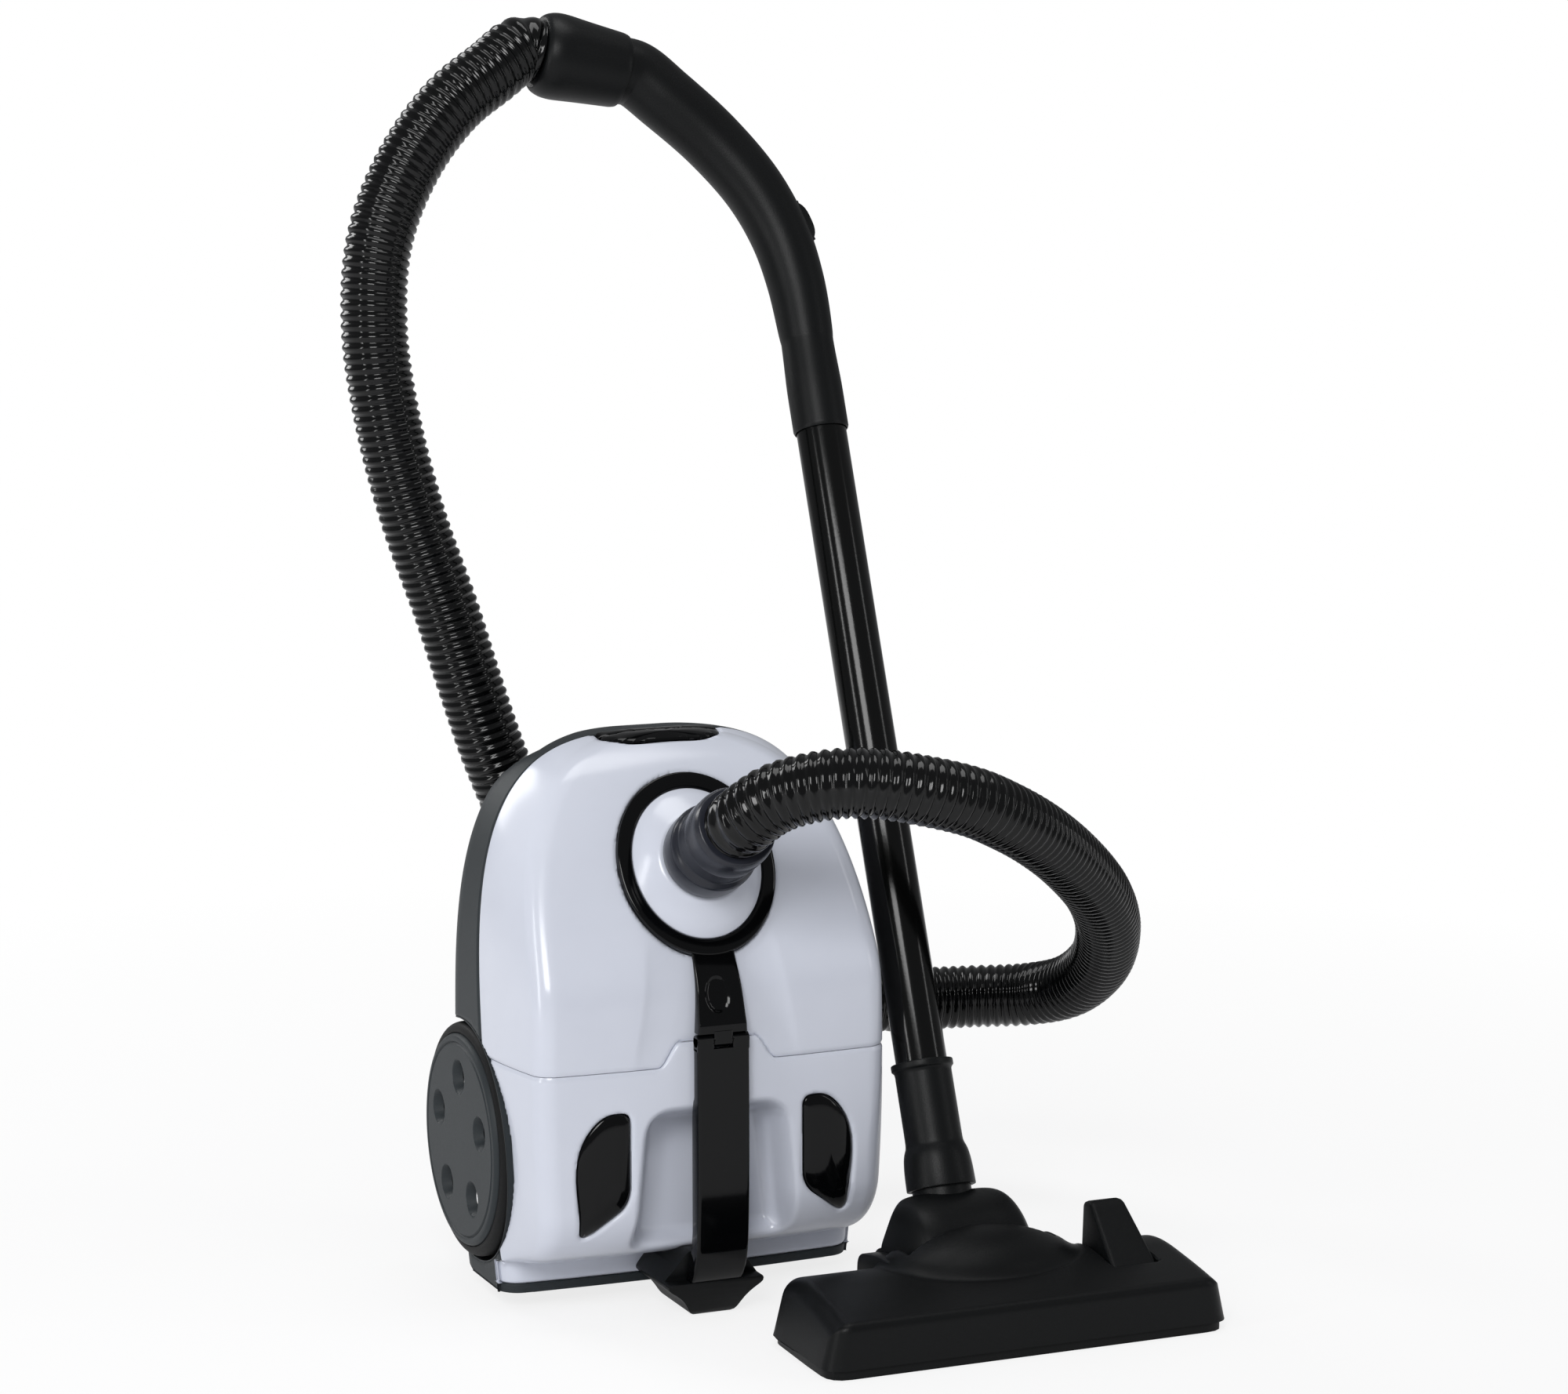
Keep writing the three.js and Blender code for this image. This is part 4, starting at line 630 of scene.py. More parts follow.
# %% [markdown]
# ## Rear cover
# The lower half of the cover has a hand recess behind the handle and two windows for the
# pedals. The recess is pressed into the grid with soft edges all round and a flat floor.

# %% Rear cover
GRIP_RECESS = rounded_polygon([(-55, 41, 16), (55, 41, 16), (46, 134, 18), (-46, 134, 18)])
RECESS_FLOOR = FACE_Y + 29.4
BASE_STRIP = 6
PEDAL_MIDDLE = BODY_WIDTH / 2 - 50


def grip_recess(grid):
    x, y, z = np.moveaxis(grid, 2, 0)
    share = ease(np.clip((2 - outline_distance(GRIP_RECESS, x, z)) / 15, 0, 1))
    y += np.maximum(0, RECESS_FLOOR - y) * share * (y < 0)
    return grid


def pedal_outline(side, gap):
    inner, outer = PEDAL_MIDDLE - 18 - gap, PEDAL_MIDDLE + 18 + gap
    corners = [
        (inner, 134 + gap, 7), (inner, 78 - gap, 10), (inner + 27, 57 - gap * 1.6, 7),
        (outer - 5, 58 - gap * 1.4, 5), (outer, 110, 22), (outer - 17, 134 + gap, 14),
    ]
    return rounded_polygon([(side * x, z, r) for x, z, r in corners])


def pedal_edge(side):
    outline = pedal_outline(side, OPENING_GAP)
    return lambda x, y, z: np.where(y < 20, outline_distance(outline, x, z), FAR_AWAY)


cover_skin = trimmed_skin(
    "rear_cover_moulding",
    grip_recess(section_grid(front_half, np.arange(BODY_BOTTOM + BASE_STRIP - 1.7, 177.5, 1.5))),
    [
        lambda x, y, z: parting_height(x) - z - SEAM_GAP,
        lambda x, y, z: z - BODY_BOTTOM - BASE_STRIP,
        lambda x, y, z: np.where(z < HEEL_FOOT + 0.6, 5, before_seam(x, y, z)),
        pedal_edge(-1), pedal_edge(1), well_edge,
    ],
)
add_inside(cover_skin, "rear_cover")
placed(cover_skin, "canister", "rear_cover", "white_gloss")

# %% [markdown]
# ## Lower housing
# The charcoal back is one skin from seam to seam, open at the wheel arches and at the round
# cup of the caster. Each arch is lined with a round wall and a flat floor, which are cut off
# at the housing's own surface. A low strip runs round the front of the base.

# %% Lower housing
CASTER_Z, CASTER_WELL, CUP_FLOOR_Y = 292, 30, 95
LINER_SUNK = 0.25


def caster_edge(x, y, z):
    return np.where(y > 90, np.hypot(x, z - CASTER_Z) - CASTER_WELL, FAR_AWAY)


def depth_inside(x, y, z):
    """How far a point lies inside the housing's sides and back."""
    w = half_width(z)
    r = np.minimum(BACK_RADIUS, 0.6 * w)
    over_x, over_y = np.abs(x) - w + r, y - back_y(z) + r
    round_corner = (over_x > 0) & (over_y > 0)
    away = r - np.where(round_corner, np.hypot(over_x, over_y), np.maximum(over_x, over_y))
    return np.minimum(away, z - BODY_BOTTOM)


def wheel_turn(x, radius, turn):
    """Points round the wheels' axle, in mm."""
    return [(x, WHEEL_Y + radius * math.cos(a), WHEEL_Z + radius * math.sin(a)) for a in turn]


def well_liner(side):
    turn = np.linspace(0, 2 * math.pi, 145)
    out = side * np.linspace(WELL_X, BODY_WIDTH / 2 + 1, 30)
    wall = np.array([wheel_turn(x, WELL_RADIUS, turn) for x in out])
    disc = np.array([wheel_turn(side * WELL_X, r, turn) for r in np.linspace(13, WELL_RADIUS, 40)])
    cut = [lambda x, y, z: depth_inside(x, y, z) - LINER_SUNK]
    return [
        trimmed_skin("well_wall", wall, cut, edge=0.2, wall=-0.8),
        trimmed_skin("well_floor", disc, cut, edge=0.2, wall=0.8),
    ]


def cup_wall():
    """The round wall of the caster's cup, from its floor to the back."""
    rings = []
    for share in np.linspace(0, 1, 6):
        ring = []
        for k in range(72):
            x = CASTER_WELL * math.cos(2 * math.pi * k / 72)
            z = CASTER_Z + CASTER_WELL * math.sin(2 * math.pi * k / 72)
            y = CUP_FLOOR_Y + (back_y(z) - 0.3 - CUP_FLOOR_Y) * share
            ring.append(Vector((x, y, z)) * MM)
        rings.append(ring)
    return skin_rings("cup_wall", rings, caps=False)


shell_skin = trimmed_skin(
    "shell",
    section_grid(back_half, nose_heights(BODY_BOTTOM + 0.02, 2.4)),
    [
        lambda x, y, z: y - seam_y(z) - SEAM_GAP,
        lambda x, y, z: z - BODY_BOTTOM,
        well_edge, caster_edge,
    ],
    wall=1.2,
)
strip_skin = trimmed_skin(
    "base_strip",
    section_grid(front_half, np.linspace(BODY_BOTTOM, BODY_BOTTOM + BASE_STRIP, 9)),
    [
        lambda x, y, z: z - BODY_BOTTOM + 1,
        lambda x, y, z: BODY_BOTTOM + BASE_STRIP - 0.3 - z,
    ],
    edge=0.5,
    wall=1.2,
)
for v in strip_skin.data.vertices:
    v.co.z = max(v.co.z, BODY_BOTTOM * MM)
chassis_skin = join_pieces(
    "lower_housing_moulding",
    [shell_skin, strip_skin, cup_wall(), *well_liner(-1), *well_liner(1)],
)
add_inside(chassis_skin, "chassis")
placed(chassis_skin, "canister", "chassis", "charcoal_matte")

# %% [markdown]
# ## Ring, dome and strap
# The port sits in a dome inside an oval ring, and a strap runs from the ring down over the
# hinge to become the carrying handle. Round the port the shapes are round at the socket and
# taller than wide at the ring, so they are turned first and stretched afterwards.

# %% Round the port
PORT_SIDES, STRETCH_FROM, STRETCH_OVER = 128, 30, 8
ACROSS = Vector((1, 0, 0))


def round_port(name, corners):
    """A turned piece on the port's axis, from (radius, distance, rounding) corners in mm."""
    piece = turn_profile(name, rounded_polygon(corners, 5), PORT, PORT_OUT, PORT_SIDES)
    for v in piece.data.vertices:
        out = v.co - PORT
        out -= PORT_OUT * out.dot(PORT_OUT)
        share = min(1, max(0, (out.length / MM - STRETCH_FROM) / STRETCH_OVER))
        v.co += PORT_UP * out.dot(PORT_UP) * (RING_STRETCH - 1) * share
    return piece


dome = round_port("port_dome", [
    (20, -22, 0), (41.7, -6, 0), (41.7, 1.2, 0.9), (35, 8.2, 6), (29.5, 12.4, 2.5),
    (28, 13, 0.6), (25.2, 13, 0.8), (25, 2, 0.6), (20, 0, 0),
])
socket = turn_profile("port_socket", [(17, -24), (22, -24), (22, 2), (17, 2)], PORT, PORT_OUT, 64)
placed(join_pieces("lid_moulding", [lid_skin, dome, socket]), "lid", "lid", "white_gloss")

# %% The strap, its ring and its share of the hinge
STRAP_FRONT, STRAP_BACK, STRAP_HALF, STRAP_NECK_HALF = -43, -35.4, 17, 13.5
HINGE_Z, HINGE_BARREL, KNUCKLE, HINGE_CLEAR = 176, 4, 6, 4.7
RISE_AT_HINGE, RISE_AT_RING, THUMB_Z, THUMB_DEPTH = 8, 1.1, 203.5, 1.7
STRAP_FOOT = HINGE_Z + HINGE_CLEAR
STRAP_TOP = PORT_Z - 46.5 * RING_STRETCH * math.cos(PORT_TILT) + 3
HINGE_AT = Vector((0, STRAP_FRONT + HINGE_BARREL, HINGE_Z)) * MM


def bar_ring(x0, x1, front, back, corner=1.3, columns=26, dent=None):
    """One section of a flat bar, across X, between a front and a back point in (y, z)."""
    front, back = Vector(front), Vector(back)
    inwards = (back - front).normalized()
    depth = (back - front).length
    middle, half = (x0 + x1) / 2, (x1 - x0) / 2
    ring = []
    for side in (1, -1):
        for k in range(columns + 1):
            x = half * math.sin(math.pi / 2 * (2 * k / columns - 1)) * side
            over = max(0, abs(x) - half + corner)
            drop = corner - math.sqrt(max(0, corner**2 - over**2))
            if side > 0 and dent:
                drop += dent(middle + x, front.y)
            at = front + inwards * (drop if side > 0 else depth - drop)
            ring.append(Vector((middle + x, at.x, at.y)) * MM)
    return ring


def thumb_dent(x, z):
    """An oblong dimple for a thumb, low on the strap."""
    away = math.hypot((x + 1.5) / 7.5, (z - THUMB_Z) / 10.5)
    return THUMB_DEPTH * ease(min(1, max(0, (1.12 - away) / 0.3)))


def hinge_share(x0, x1, levels):
    """A flat tab that ends at the hinge, and the piece of the hinge's barrel beside it."""
    rings = [
        bar_ring(x0, x1, (STRAP_FRONT, HINGE_Z + up), (STRAP_BACK, HINGE_Z + up), 0.5, 6)
        for up in levels
    ]
    barrel = [(0, x0, 0), (HINGE_BARREL, x0, 0.4), (HINGE_BARREL, x1, 0.4), (0, x1, 0)]
    return [
        skin_rings("hinge_tab", rings),
        turn_profile("hinge_barrel", rounded_polygon(barrel, 3), HINGE_AT, ACROSS, 40),
    ]


strap_rings = []
for k in range(71):
    z = STRAP_FOOT + (STRAP_TOP - STRAP_FOOT) * k / 70
    narrowed = (z - PARTING_Z) / (STRAP_TOP + 1 - PARTING_Z)
    half = STRAP_HALF + (STRAP_NECK_HALF - STRAP_HALF) * narrowed
    lie = float(face_y(np.float64(z)))
    rise = RISE_AT_HINGE + (RISE_AT_RING - RISE_AT_HINGE) * min(1, max(0, (z - 186) / 42)) ** 0.8
    strap_rings.append(bar_ring(-half, half, (lie - rise, z), (lie + 0.6, z), dent=thumb_dent))
ring_piece = round_port("trim_ring", [
    (42, -2.2, 0), (51, -2.2, 0), (51, 1.3, 0.9), (49, 1.95, 2), (44, 1.95, 2), (42, 1.3, 0.9),
])
strap = skin_rings("strap", strap_rings)
hinge = hinge_share(-KNUCKLE, KNUCKLE, (-2, -1, 2, 6))
trim = join_pieces("trim_and_strap", [ring_piece, strap, *hinge])
placed(trim, "lid", "lid_trim", "black_gloss")

# %% The carrying handle
HANDLE_TOP = HINGE_Z - HINGE_CLEAR
OUTSIDE = [
    [(STRAP_FRONT, HANDLE_TOP), (-44, 120), (-44, 60), (-41, 44)],
    [(-41, 44), (-38, 30), (-31, 23)],
]
INSIDE = [
    [(STRAP_BACK, HANDLE_TOP), (STRAP_BACK, 140)],
    [(STRAP_BACK, 140), (-32, 137), (-32, 124)],
    [(-32, 124), (-32, 56)],
    [(-32, 56), (-29, 34), (-21, 23)],
]


def bezier(points, t):
    """A point on a Bezier curve of any order, by repeated halving of its control polygon."""
    points = [Vector(p) for p in points]
    while len(points) > 1:
        points = [a.lerp(b, t) for a, b in zip(points, points[1:])]
    return points[0]


def along_curves(curves):
    """Evenly spaced points along joined Bezier curves."""
    fine = [bezier(curve, k / 24) for curve in curves for k in range(25)]
    fine = [p for p, q in zip(fine, fine[1:]) if (q - p).length > SAME_POINT] + [fine[-1]]
    return evenly(fine, count=90)[0]


sections = zip(along_curves(OUTSIDE), along_curves(INSIDE))
bar = [bar_ring(-STRAP_HALF, STRAP_HALF, a, b, corner=1.6) for a, b in sections]
handle_parts = [skin_rings("handle_bar", bar)]
for side in (-1, 1):
    near, far = sorted((side * (KNUCKLE + FIT), side * STRAP_HALF))
    handle_parts += hinge_share(near, far, (-6, -2, 1, 2))
handle = join_pieces("carry_handle_bar", handle_parts)
placed(handle, "canister", "carry_handle", "black_gloss")

# %% [markdown]
# ## Wheels
# Each big wheel is a thin disc with five tapered holes, a fine groove near its edge and a
# rubber tyre. Its face is a polar grid, trimmed at the holes like the housing's openings,
# and the holes are then drawn in behind the face, because a mould needs that taper.

# %% Wheels and tyres
WHEEL_FACE_X, WHEEL_BACK_X, FACE_THICK = BODY_WIDTH / 2 + 3, BODY_WIDTH / 2 - 21, 5
FACE_RADIUS, RIM_RADIUS, HOLE_CIRCLE, HOLE_RADIUS, HOLE_TAPER = 59.4, 66.5, 40, 10.5, 2.4
HOLES = wheel_turn(0, HOLE_CIRCLE, [math.radians(90 + 72 * k) for k in range(5)])
WHEEL_AT = Vector((0, WHEEL_Y, WHEEL_Z)) * MM


def disc_grid(x, outer):
    turn = np.linspace(math.radians(20), math.radians(380), 361)
    radii = [*np.arange(0.01, outer + 0.01, 0.7), outer]
    return np.array([wheel_turn(x, r, turn) for r in radii])


def hole_edge(radius):
    def away(x, y, z):
        return np.array([np.hypot(y - b, z - c) for _, b, c in HOLES]).min(axis=0) - radius

    return away


def draw_in_holes(face):
    """Narrows the holes behind the face, away from their rounded rims."""
    for v in face.data.vertices:
        sunk = WHEEL_FACE_X - abs(v.co.x) / MM
        y, z = v.co.y / MM, v.co.z / MM
        away, hole_y, hole_z = min((math.hypot(y - b, z - c), b, c) for _, b, c in HOLES)
        if sunk > 0.75 and away < HOLE_RADIUS + 2:
            pull = HOLE_TAPER * (sunk - 0.7) / 4.3 / away
            v.co.y -= (y - hole_y) * pull * MM
            v.co.z -= (z - hole_z) * pull * MM


def wheel_disc(name, side):
    face, back, web = WHEEL_FACE_X, WHEEL_BACK_X, WHEEL_FACE_X - FACE_THICK
    out = ACROSS * side
    front = trimmed_skin(
        "wheel_face", disc_grid(side * face, FACE_RADIUS), [hole_edge(HOLE_RADIUS)],
        edge=0.7, wall=FACE_THICK,
    )
    draw_in_holes(front)
    behind = trimmed_skin(
        "wheel_web", disc_grid(side * web, FACE_RADIUS + 3),
        [hole_edge(HOLE_RADIUS - HOLE_TAPER)], edge=0.2, wall=0.2,
    )
    rim = rounded_polygon([
        (59.4, web, 0), (62.5, web, 0), (62.5, back, 0.5), (RIM_RADIUS, back, 0.5),
        (RIM_RADIUS, face - 2.6, 1), (RIM_RADIUS - 1.6, face - 0.3, 1), (62, face, 0.7),
        (60.9, face - 1.3, 0.3), (59.8, face, 0.5), (59.4, face, 0),
    ], 4)
    hub = [(4.3, face - 7), (4.3, back - 1), (11, back - 1), (13, web)]
    return join_pieces(name, [
        front, behind,
        turn_profile("wheel_rim", rim, WHEEL_AT, out, 160),
        turn_profile("wheel_hub", hub, WHEEL_AT, out, 48),
    ])


def tyre(name, side):
    outer, face = WHEEL_RADIUS, WHEEL_FACE_X
    profile = rounded_polygon([
        (RIM_RADIUS + FIT, WHEEL_BACK_X, 0), (outer - 1, WHEEL_BACK_X, 1.4),
        (outer, WHEEL_BACK_X + 3, 2), (outer, face - 7.5, 2.5), (outer - 1.4, face - 4.3, 2),
        (outer - 4.3, face - 2.9, 1.2), (RIM_RADIUS + FIT, face - 3, 0.5),
    ], 5)
    return turn_profile(name, profile, WHEEL_AT, ACROSS * side, 160)


for side, name in ((-1, "left"), (1, "right")):
    disc = wheel_disc("wheel_moulding_" + name, side)
    placed(disc, name + "_wheel", "wheel_" + name, "charcoal_matte")
    rubber = tyre("tyre_moulding_" + name, side)
    placed(rubber, name + "_wheel", "tyre_" + name, "rubber_black")

# %% [markdown]
# ## Connector, cuff, wand and sleeve
# These are all turned. Their corners carry a small radius, as moulds and bent tube always
# leave, because a radius is what catches the light along an edge.

# %% Turned pieces
NECK = Vector((141.5, -71.6, 28)) * MM
WAND_LEAN = math.radians(22.1)
WAND_UP = Vector((0, math.sin(WAND_LEAN), math.cos(WAND_LEAN)))
TUBE_TO = 566


def turned(name, body, node, slot, origin, direction, corners):
    """A turned piece in a CAD node's place, from (radius, distance, rounding) corners in mm."""
    piece = turn_profile(name, rounded_polygon(corners, 5), origin, direction)
    placed(piece, body, node, slot)


turned("port_connector", "connector", "hose_connector", "cuff_grey", PORT, PORT_OUT, [
    (16, 2.4, 0), (24.4, 2.4, 0.6), (24.4, 13.3, 0), (27, 14.5, 1), (28, 20, 3), (28, 34, 2.5),
    (25.1, 37.6, 1.5), (24.4, 49, 1), (24.6, 50.4, 0.4), (26, 51.2, 0.8), (26, 68, 3),
    (24.5, CONNECTOR_END, 1), (16, CONNECTOR_END, 0.5),
])
turned("grip_cuff", "cuff", "hose_cuff", "black_matte", GRIP_END, CUFF_OUT, [
    (22.3, -4, 0), (23.6, -4, 0.6), (24.4, -1, 1), (26.4, 24, 10), (28, 40, 6), (27.4, 47, 3),
    (25.4, 52, 2), (23, CUFF_LENGTH, 0.6), (16, CUFF_LENGTH, 0.6), (16, 26.5, 0),
    (22.3, 26.5, 0),
])
turned("steel_wand", "canister", "wand_tube", "tube_black", NECK, WAND_UP, [
    (15, 100, 0.3), (16.2, 100, 0.6), (16.2, TUBE_TO, 0.6), (15, TUBE_TO, 0.3),
])
turned("wand_sleeve", "canister", "neck_sleeve", "black_matte", NECK, WAND_UP, [
    (18.8, 47, 0.3), (21.8, 47, 0.8), (21.5, 60, 6), (20.4, 69, 4), (18.2, 74.4, 1.5),
    (18, 78, 2), (17.9, 120, 1), (18.4, 121.6, 0.8), (19.6, 122.4, 0.9), (19.6, 126.5, 0.9),
    (16.5, 126.5, 0.4), (16.5, 99.7, 0), (14, 99.7, 0), (14, 62.3, 0), (18.8, 62.3, 0),
])

# %% [markdown]
# ## Grip
# The grip is one bent tube whose radius changes along it: a socket over the wand, a waist
# for the fingers, then a bend that grows towards the cuff. It is swept like the hose. The
# slider's slot is cut with a boolean: the surface is matt and its faces are small, so the
# slivers that a boolean leaves don't show.

# %% The curved grip
GRIP_FROM = 540
GRIP_ROUTE = [
    (140, 170, 623), (134, 182, 653), (120.5, 194, 683), (97, 208, 714), (68.5, 219, 741),
]
SOCKET_LIP, SOCKET_ROUND, GRIP_SIDES = 17.4, 0.9, 64
WAIST_FROM, WAIST_TO, WAIST_RADIUS, GRIP_END_RADIUS = 24, 62, 17, 21.8


def wand_point(s):
    return NECK + WAND_UP * s * MM


grip_path, grip_length = evenly(
    centripetal_path([
        *[wand_point(s) for s in (GRIP_FROM, TUBE_TO, 590, 608)],
        *[Vector(p) * MM for p in GRIP_ROUTE],
        *[GRIP_END + CUFF_OUT * s * MM for s in (-14, 0, 12, 25.5)],
    ]),
    1.5 * MM,
)


def grip_radius(s):
    """The outside radius s mm along the grip."""
    if s < SOCKET_ROUND:
        return SOCKET_LIP + 0.6 * math.sin(math.acos(max(0, 1 - s / SOCKET_ROUND)))
    if s < WAIST_TO:
        return WAIST_RADIUS + 1 - ease(max(0, s - WAIST_FROM) / (WAIST_TO - WAIST_FROM))
    share = min(1, (s - WAIST_TO) / (grip_length / MM - WAIST_TO - 26))
    return WAIST_RADIUS + (GRIP_END_RADIUS - WAIST_RADIUS) * share**0.55


grip_rings, along, before = [], 0.0, grip_path[0]
for centre, side, up in carried_frames(grip_path):
    along += (centre - before).length / MM
    before = centre
    grip_rings.append(circle(centre, side, up, grip_radius(along), GRIP_SIDES))
socket_rings = [
    [wand_point(s) + (v - grip_path[0]) / SOCKET_LIP * radius for v in grip_rings[0]]
    for s, radius in ((566.3, 12), (566.3, 16.5), (540.5, 16.5), (540, 16.9), (540, SOCKET_LIP))
]
grip_skin = skin_rings("grip_tube", socket_rings + grip_rings, caps=False)
print("grip length:", round(grip_length, 3), "m")

# %% The slider's slot
SLIDER_FROM, SLIDER_TO = Vector((156, 178, 642)) * MM, Vector((139.5, 194, 688)) * MM
SLOT_OUTLINE = rounded_polygon([(-9, -22, 2), (9, -22, 2), (9, 22, 2), (-9, 22, 2)], 4)
slider_run = (SLIDER_TO - SLIDER_FROM).normalized()
sideways = Vector((0, math.cos(WAND_LEAN), -math.sin(WAND_LEAN)))
slider_out = sideways.cross(slider_run).normalized()
slider_across = slider_run.cross(slider_out)
slider_middle = (SLIDER_FROM + SLIDER_TO) / 2


def slot_ring(out):
    """The slot's outline, at one distance out from the slider's middle."""
    offsets = [slider_out * out + slider_across * a + slider_run * s for a, s in SLOT_OUTLINE]
    return [slider_middle + offset * MM for offset in offsets]


def applied(thing):
    """An object's mesh as its modifiers leave it."""
    shaped = thing.evaluated_get(bpy.context.evaluated_depsgraph_get())
    return bpy.data.meshes.new_from_object(shaped)


cutter = skin_rings("slot_cutter", [slot_ring(out) for out in (-9, 20)])
cut = grip_skin.modifiers.new("slot", "BOOLEAN")
cut.object = cutter
cut.solver = "EXACT"
cut.operation = "DIFFERENCE"
grip = new_piece("curved_grip", applied(grip_skin), 40)
bpy.data.objects.remove(cutter)
bpy.data.objects.remove(grip_skin)
placed(grip, "canister", "grip", "black_matte")

# %% [markdown]
# ## Floor tool
# The head is one moulding: a long profile with rounded ends that lean in a little, and a
# saddle that swells up in front of the hood. The saddle is blended in with a smooth maximum,
# which leaves the soft concave apron that a mould of this kind has.

# %% The head's form
WAND_X, NECK_Y, NECK_Z = 141.5, -71.6, 28
TOOL_LEFT, TOOL_RIGHT, TOOL_SLANT, TOOL_FOOT = 8, 276, 10, 6
TOOL_MIDDLE = (TOOL_LEFT + TOOL_RIGHT) / 2
TOOL_SIDE = rounded_polygon(
    [(-182, 6, 0), (-181, 33, 5), (-156, 38, 16), (-114, 44, 16), (-93, 39, 10), (-90, 6, 0)], 10
)
SADDLE_Y, SADDLE_Z, SADDLE_RADIUS, SADDLE_GROWTH, SADDLE_HALF, APRON = -105.6, 12, 12, 37.5, 76, 5
HOOD_RADIUS, HOOD_HALF = 45, 49


def even_outline(points, count):
    """The same open outline as a given number of evenly spaced points."""
    steps = [math.dist(a, b) for a, b in zip(points, points[1:])]
    at = np.concatenate([[0], np.cumsum(steps)])
    share = np.linspace(0, at[-1], count)
    return np.stack([np.interp(share, at, [p[k] for p in points]) for k in (0, 1)], axis=1)


def inset_line(side, normal, inset):
    """The line moved inwards, without the loop that it would make inside a tight corner."""
    moved = side - normal * inset[:, None]
    moved[:, 1] = np.maximum(moved[:, 1], TOOL_FOOT)
    gap = np.hypot(*(moved[:, None] - side[None]).transpose(2, 0, 1)).min(axis=1)
    fair = gap >= 0.985 * inset - 1e-6
    order = np.arange(len(moved))
    return np.stack([np.interp(order, order[fair], moved[fair, k]) for k in (0, 1)], axis=1)


def tool_grid():
    """The head's form, from the middle of one end face over the top to the other's."""
    side = even_outline(TOOL_SIDE, 150)
    slope = np.gradient(side, axis=0)
    normal = np.stack([-slope[:, 1], slope[:, 0]], axis=1)
    normal /= np.hypot(*normal.T)[:, None]
    bend = np.interp(side[:, 1], [10, 44], [12, 9])
    middle = np.array([-136.0, 6.0])
    stations = [(0, s) for s in (0.02, 0.35, 0.7)]
    stations += [(a, 1) for a in np.linspace(0, math.pi / 2, 9)]
    left, right = [], []
    for angle, share in stations:
        place = inset_line(side, normal, bend * (1 - math.sin(angle)))
        y, z = (middle + (place - middle) * share).T
        lean = TOOL_SLANT * np.clip((z - TOOL_FOOT) / 42, 0, 1)
        x = TOOL_RIGHT - TOOL_MIDDLE - lean - bend * (1 - math.cos(angle))
        left.append(np.stack([TOOL_MIDDLE - x, y, z], axis=1))
        right.insert(0, np.stack([TOOL_MIDDLE + x, y, z], axis=1))
    between = [left[-1] + (right[0] - left[-1]) * t for t in np.linspace(0, 1, 170)[1:-1]]
    return np.array(left + between + right)


def with_saddle(grid):
    """Swells the top up in front of the hood, blending smoothly into the flat."""
    x, y, z = np.moveaxis(grid, 2, 0)
    swell = np.maximum(0, 1 - ((x - TOOL_MIDDLE) / SADDLE_HALF) ** 2) ** 0.6
    height = (SADDLE_RADIUS + SADDLE_GROWTH * swell) ** 2 - (y - SADDLE_Y) ** 2
    lift = np.where(height > 0, SADDLE_Z + np.sqrt(np.maximum(0, height)), 0)
    mix = np.clip(0.5 + 0.5 * (lift - z) / APRON, 0, 1)
    raised = z * (1 - mix) + lift * mix + APRON * mix * (1 - mix) * 0.5
    grid[..., 2] = np.where((z > 30) & (y > -168), raised, z)
    return grid


def hood_edge(x, y, z):
    """Clear of the hood's drum, between the two cheeks."""
    round_hood = np.hypot(y - NECK_Y, z - NECK_Z) - HOOD_RADIUS - 1
    return np.maximum(round_hood, np.abs(x - WAND_X) - HOOD_HALF - 0.8)


PEDAL_X = WAND_X + 86.5
PEDAL_SLOT = rounded_polygon([
    (PEDAL_X - 15.7, -150, 3), (PEDAL_X + 15.7, -150, 3),
    (PEDAL_X + 15.7, -97.5, 3), (PEDAL_X - 15.7, -97.5, 3),
])


def slot_edge(x, y, z):
    return np.where(z > 28, outline_distance(PEDAL_SLOT, x, y), FAR_AWAY)


def cheek(side):
    """An upright lug beside the hood that carries its pivot."""
    outline = rounded_polygon(
        [(-108, 8, 0), (-60.6, 12, 8), (-60.6, 39, 9), (-90, 45, 12), (-108, 45, 3)], 5
    )
    centre = Vector((-84, 26))
    rings = []
    for x, inset in ((49.9, 0.6), (50.5, 0), (59.5, 0), (60.6, 0.5), (61, 1.4)):
        inner = [centre + (Vector(p) - centre) * (1 - inset / 26) for p in outline]
        rings.append([Vector((WAND_X + side * x, *p)) * MM for p in inner])
    return skin_rings("cheek", rings)


head = trimmed_skin("head", with_saddle(tool_grid()), [hood_edge, slot_edge], wall=6)
tool_head = join_pieces("tool_head", [head, cheek(-1), cheek(1)])
placed(tool_head, "floor_tool", "tool_body", "black_matte")

# %% [markdown]
# ## Hood
# The hood turns on the tool's pivots and carries the spout for the wand. Its shell is about
# a quarter of a drum with rounded ends: a turned grid, cut along two planes through its axis.

# %% Hood
hood_outline = even_outline(rounded_polygon(
    [(0, -49, 0), (15, -49, 5), (41, -37, 12), (HOOD_RADIUS, -27, 10), (HOOD_RADIUS, 27, 10),
     (41, 37, 12), (15, 49, 5), (0, 49, 0)],
    8,
), 150)
hood_turns = np.radians(np.linspace(74, 184, 120))
hood_grid = np.array([
    [(WAND_X + x, NECK_Y + r * math.cos(a), NECK_Z + r * math.sin(a)) for a in hood_turns]
    for r, x in hood_outline
])


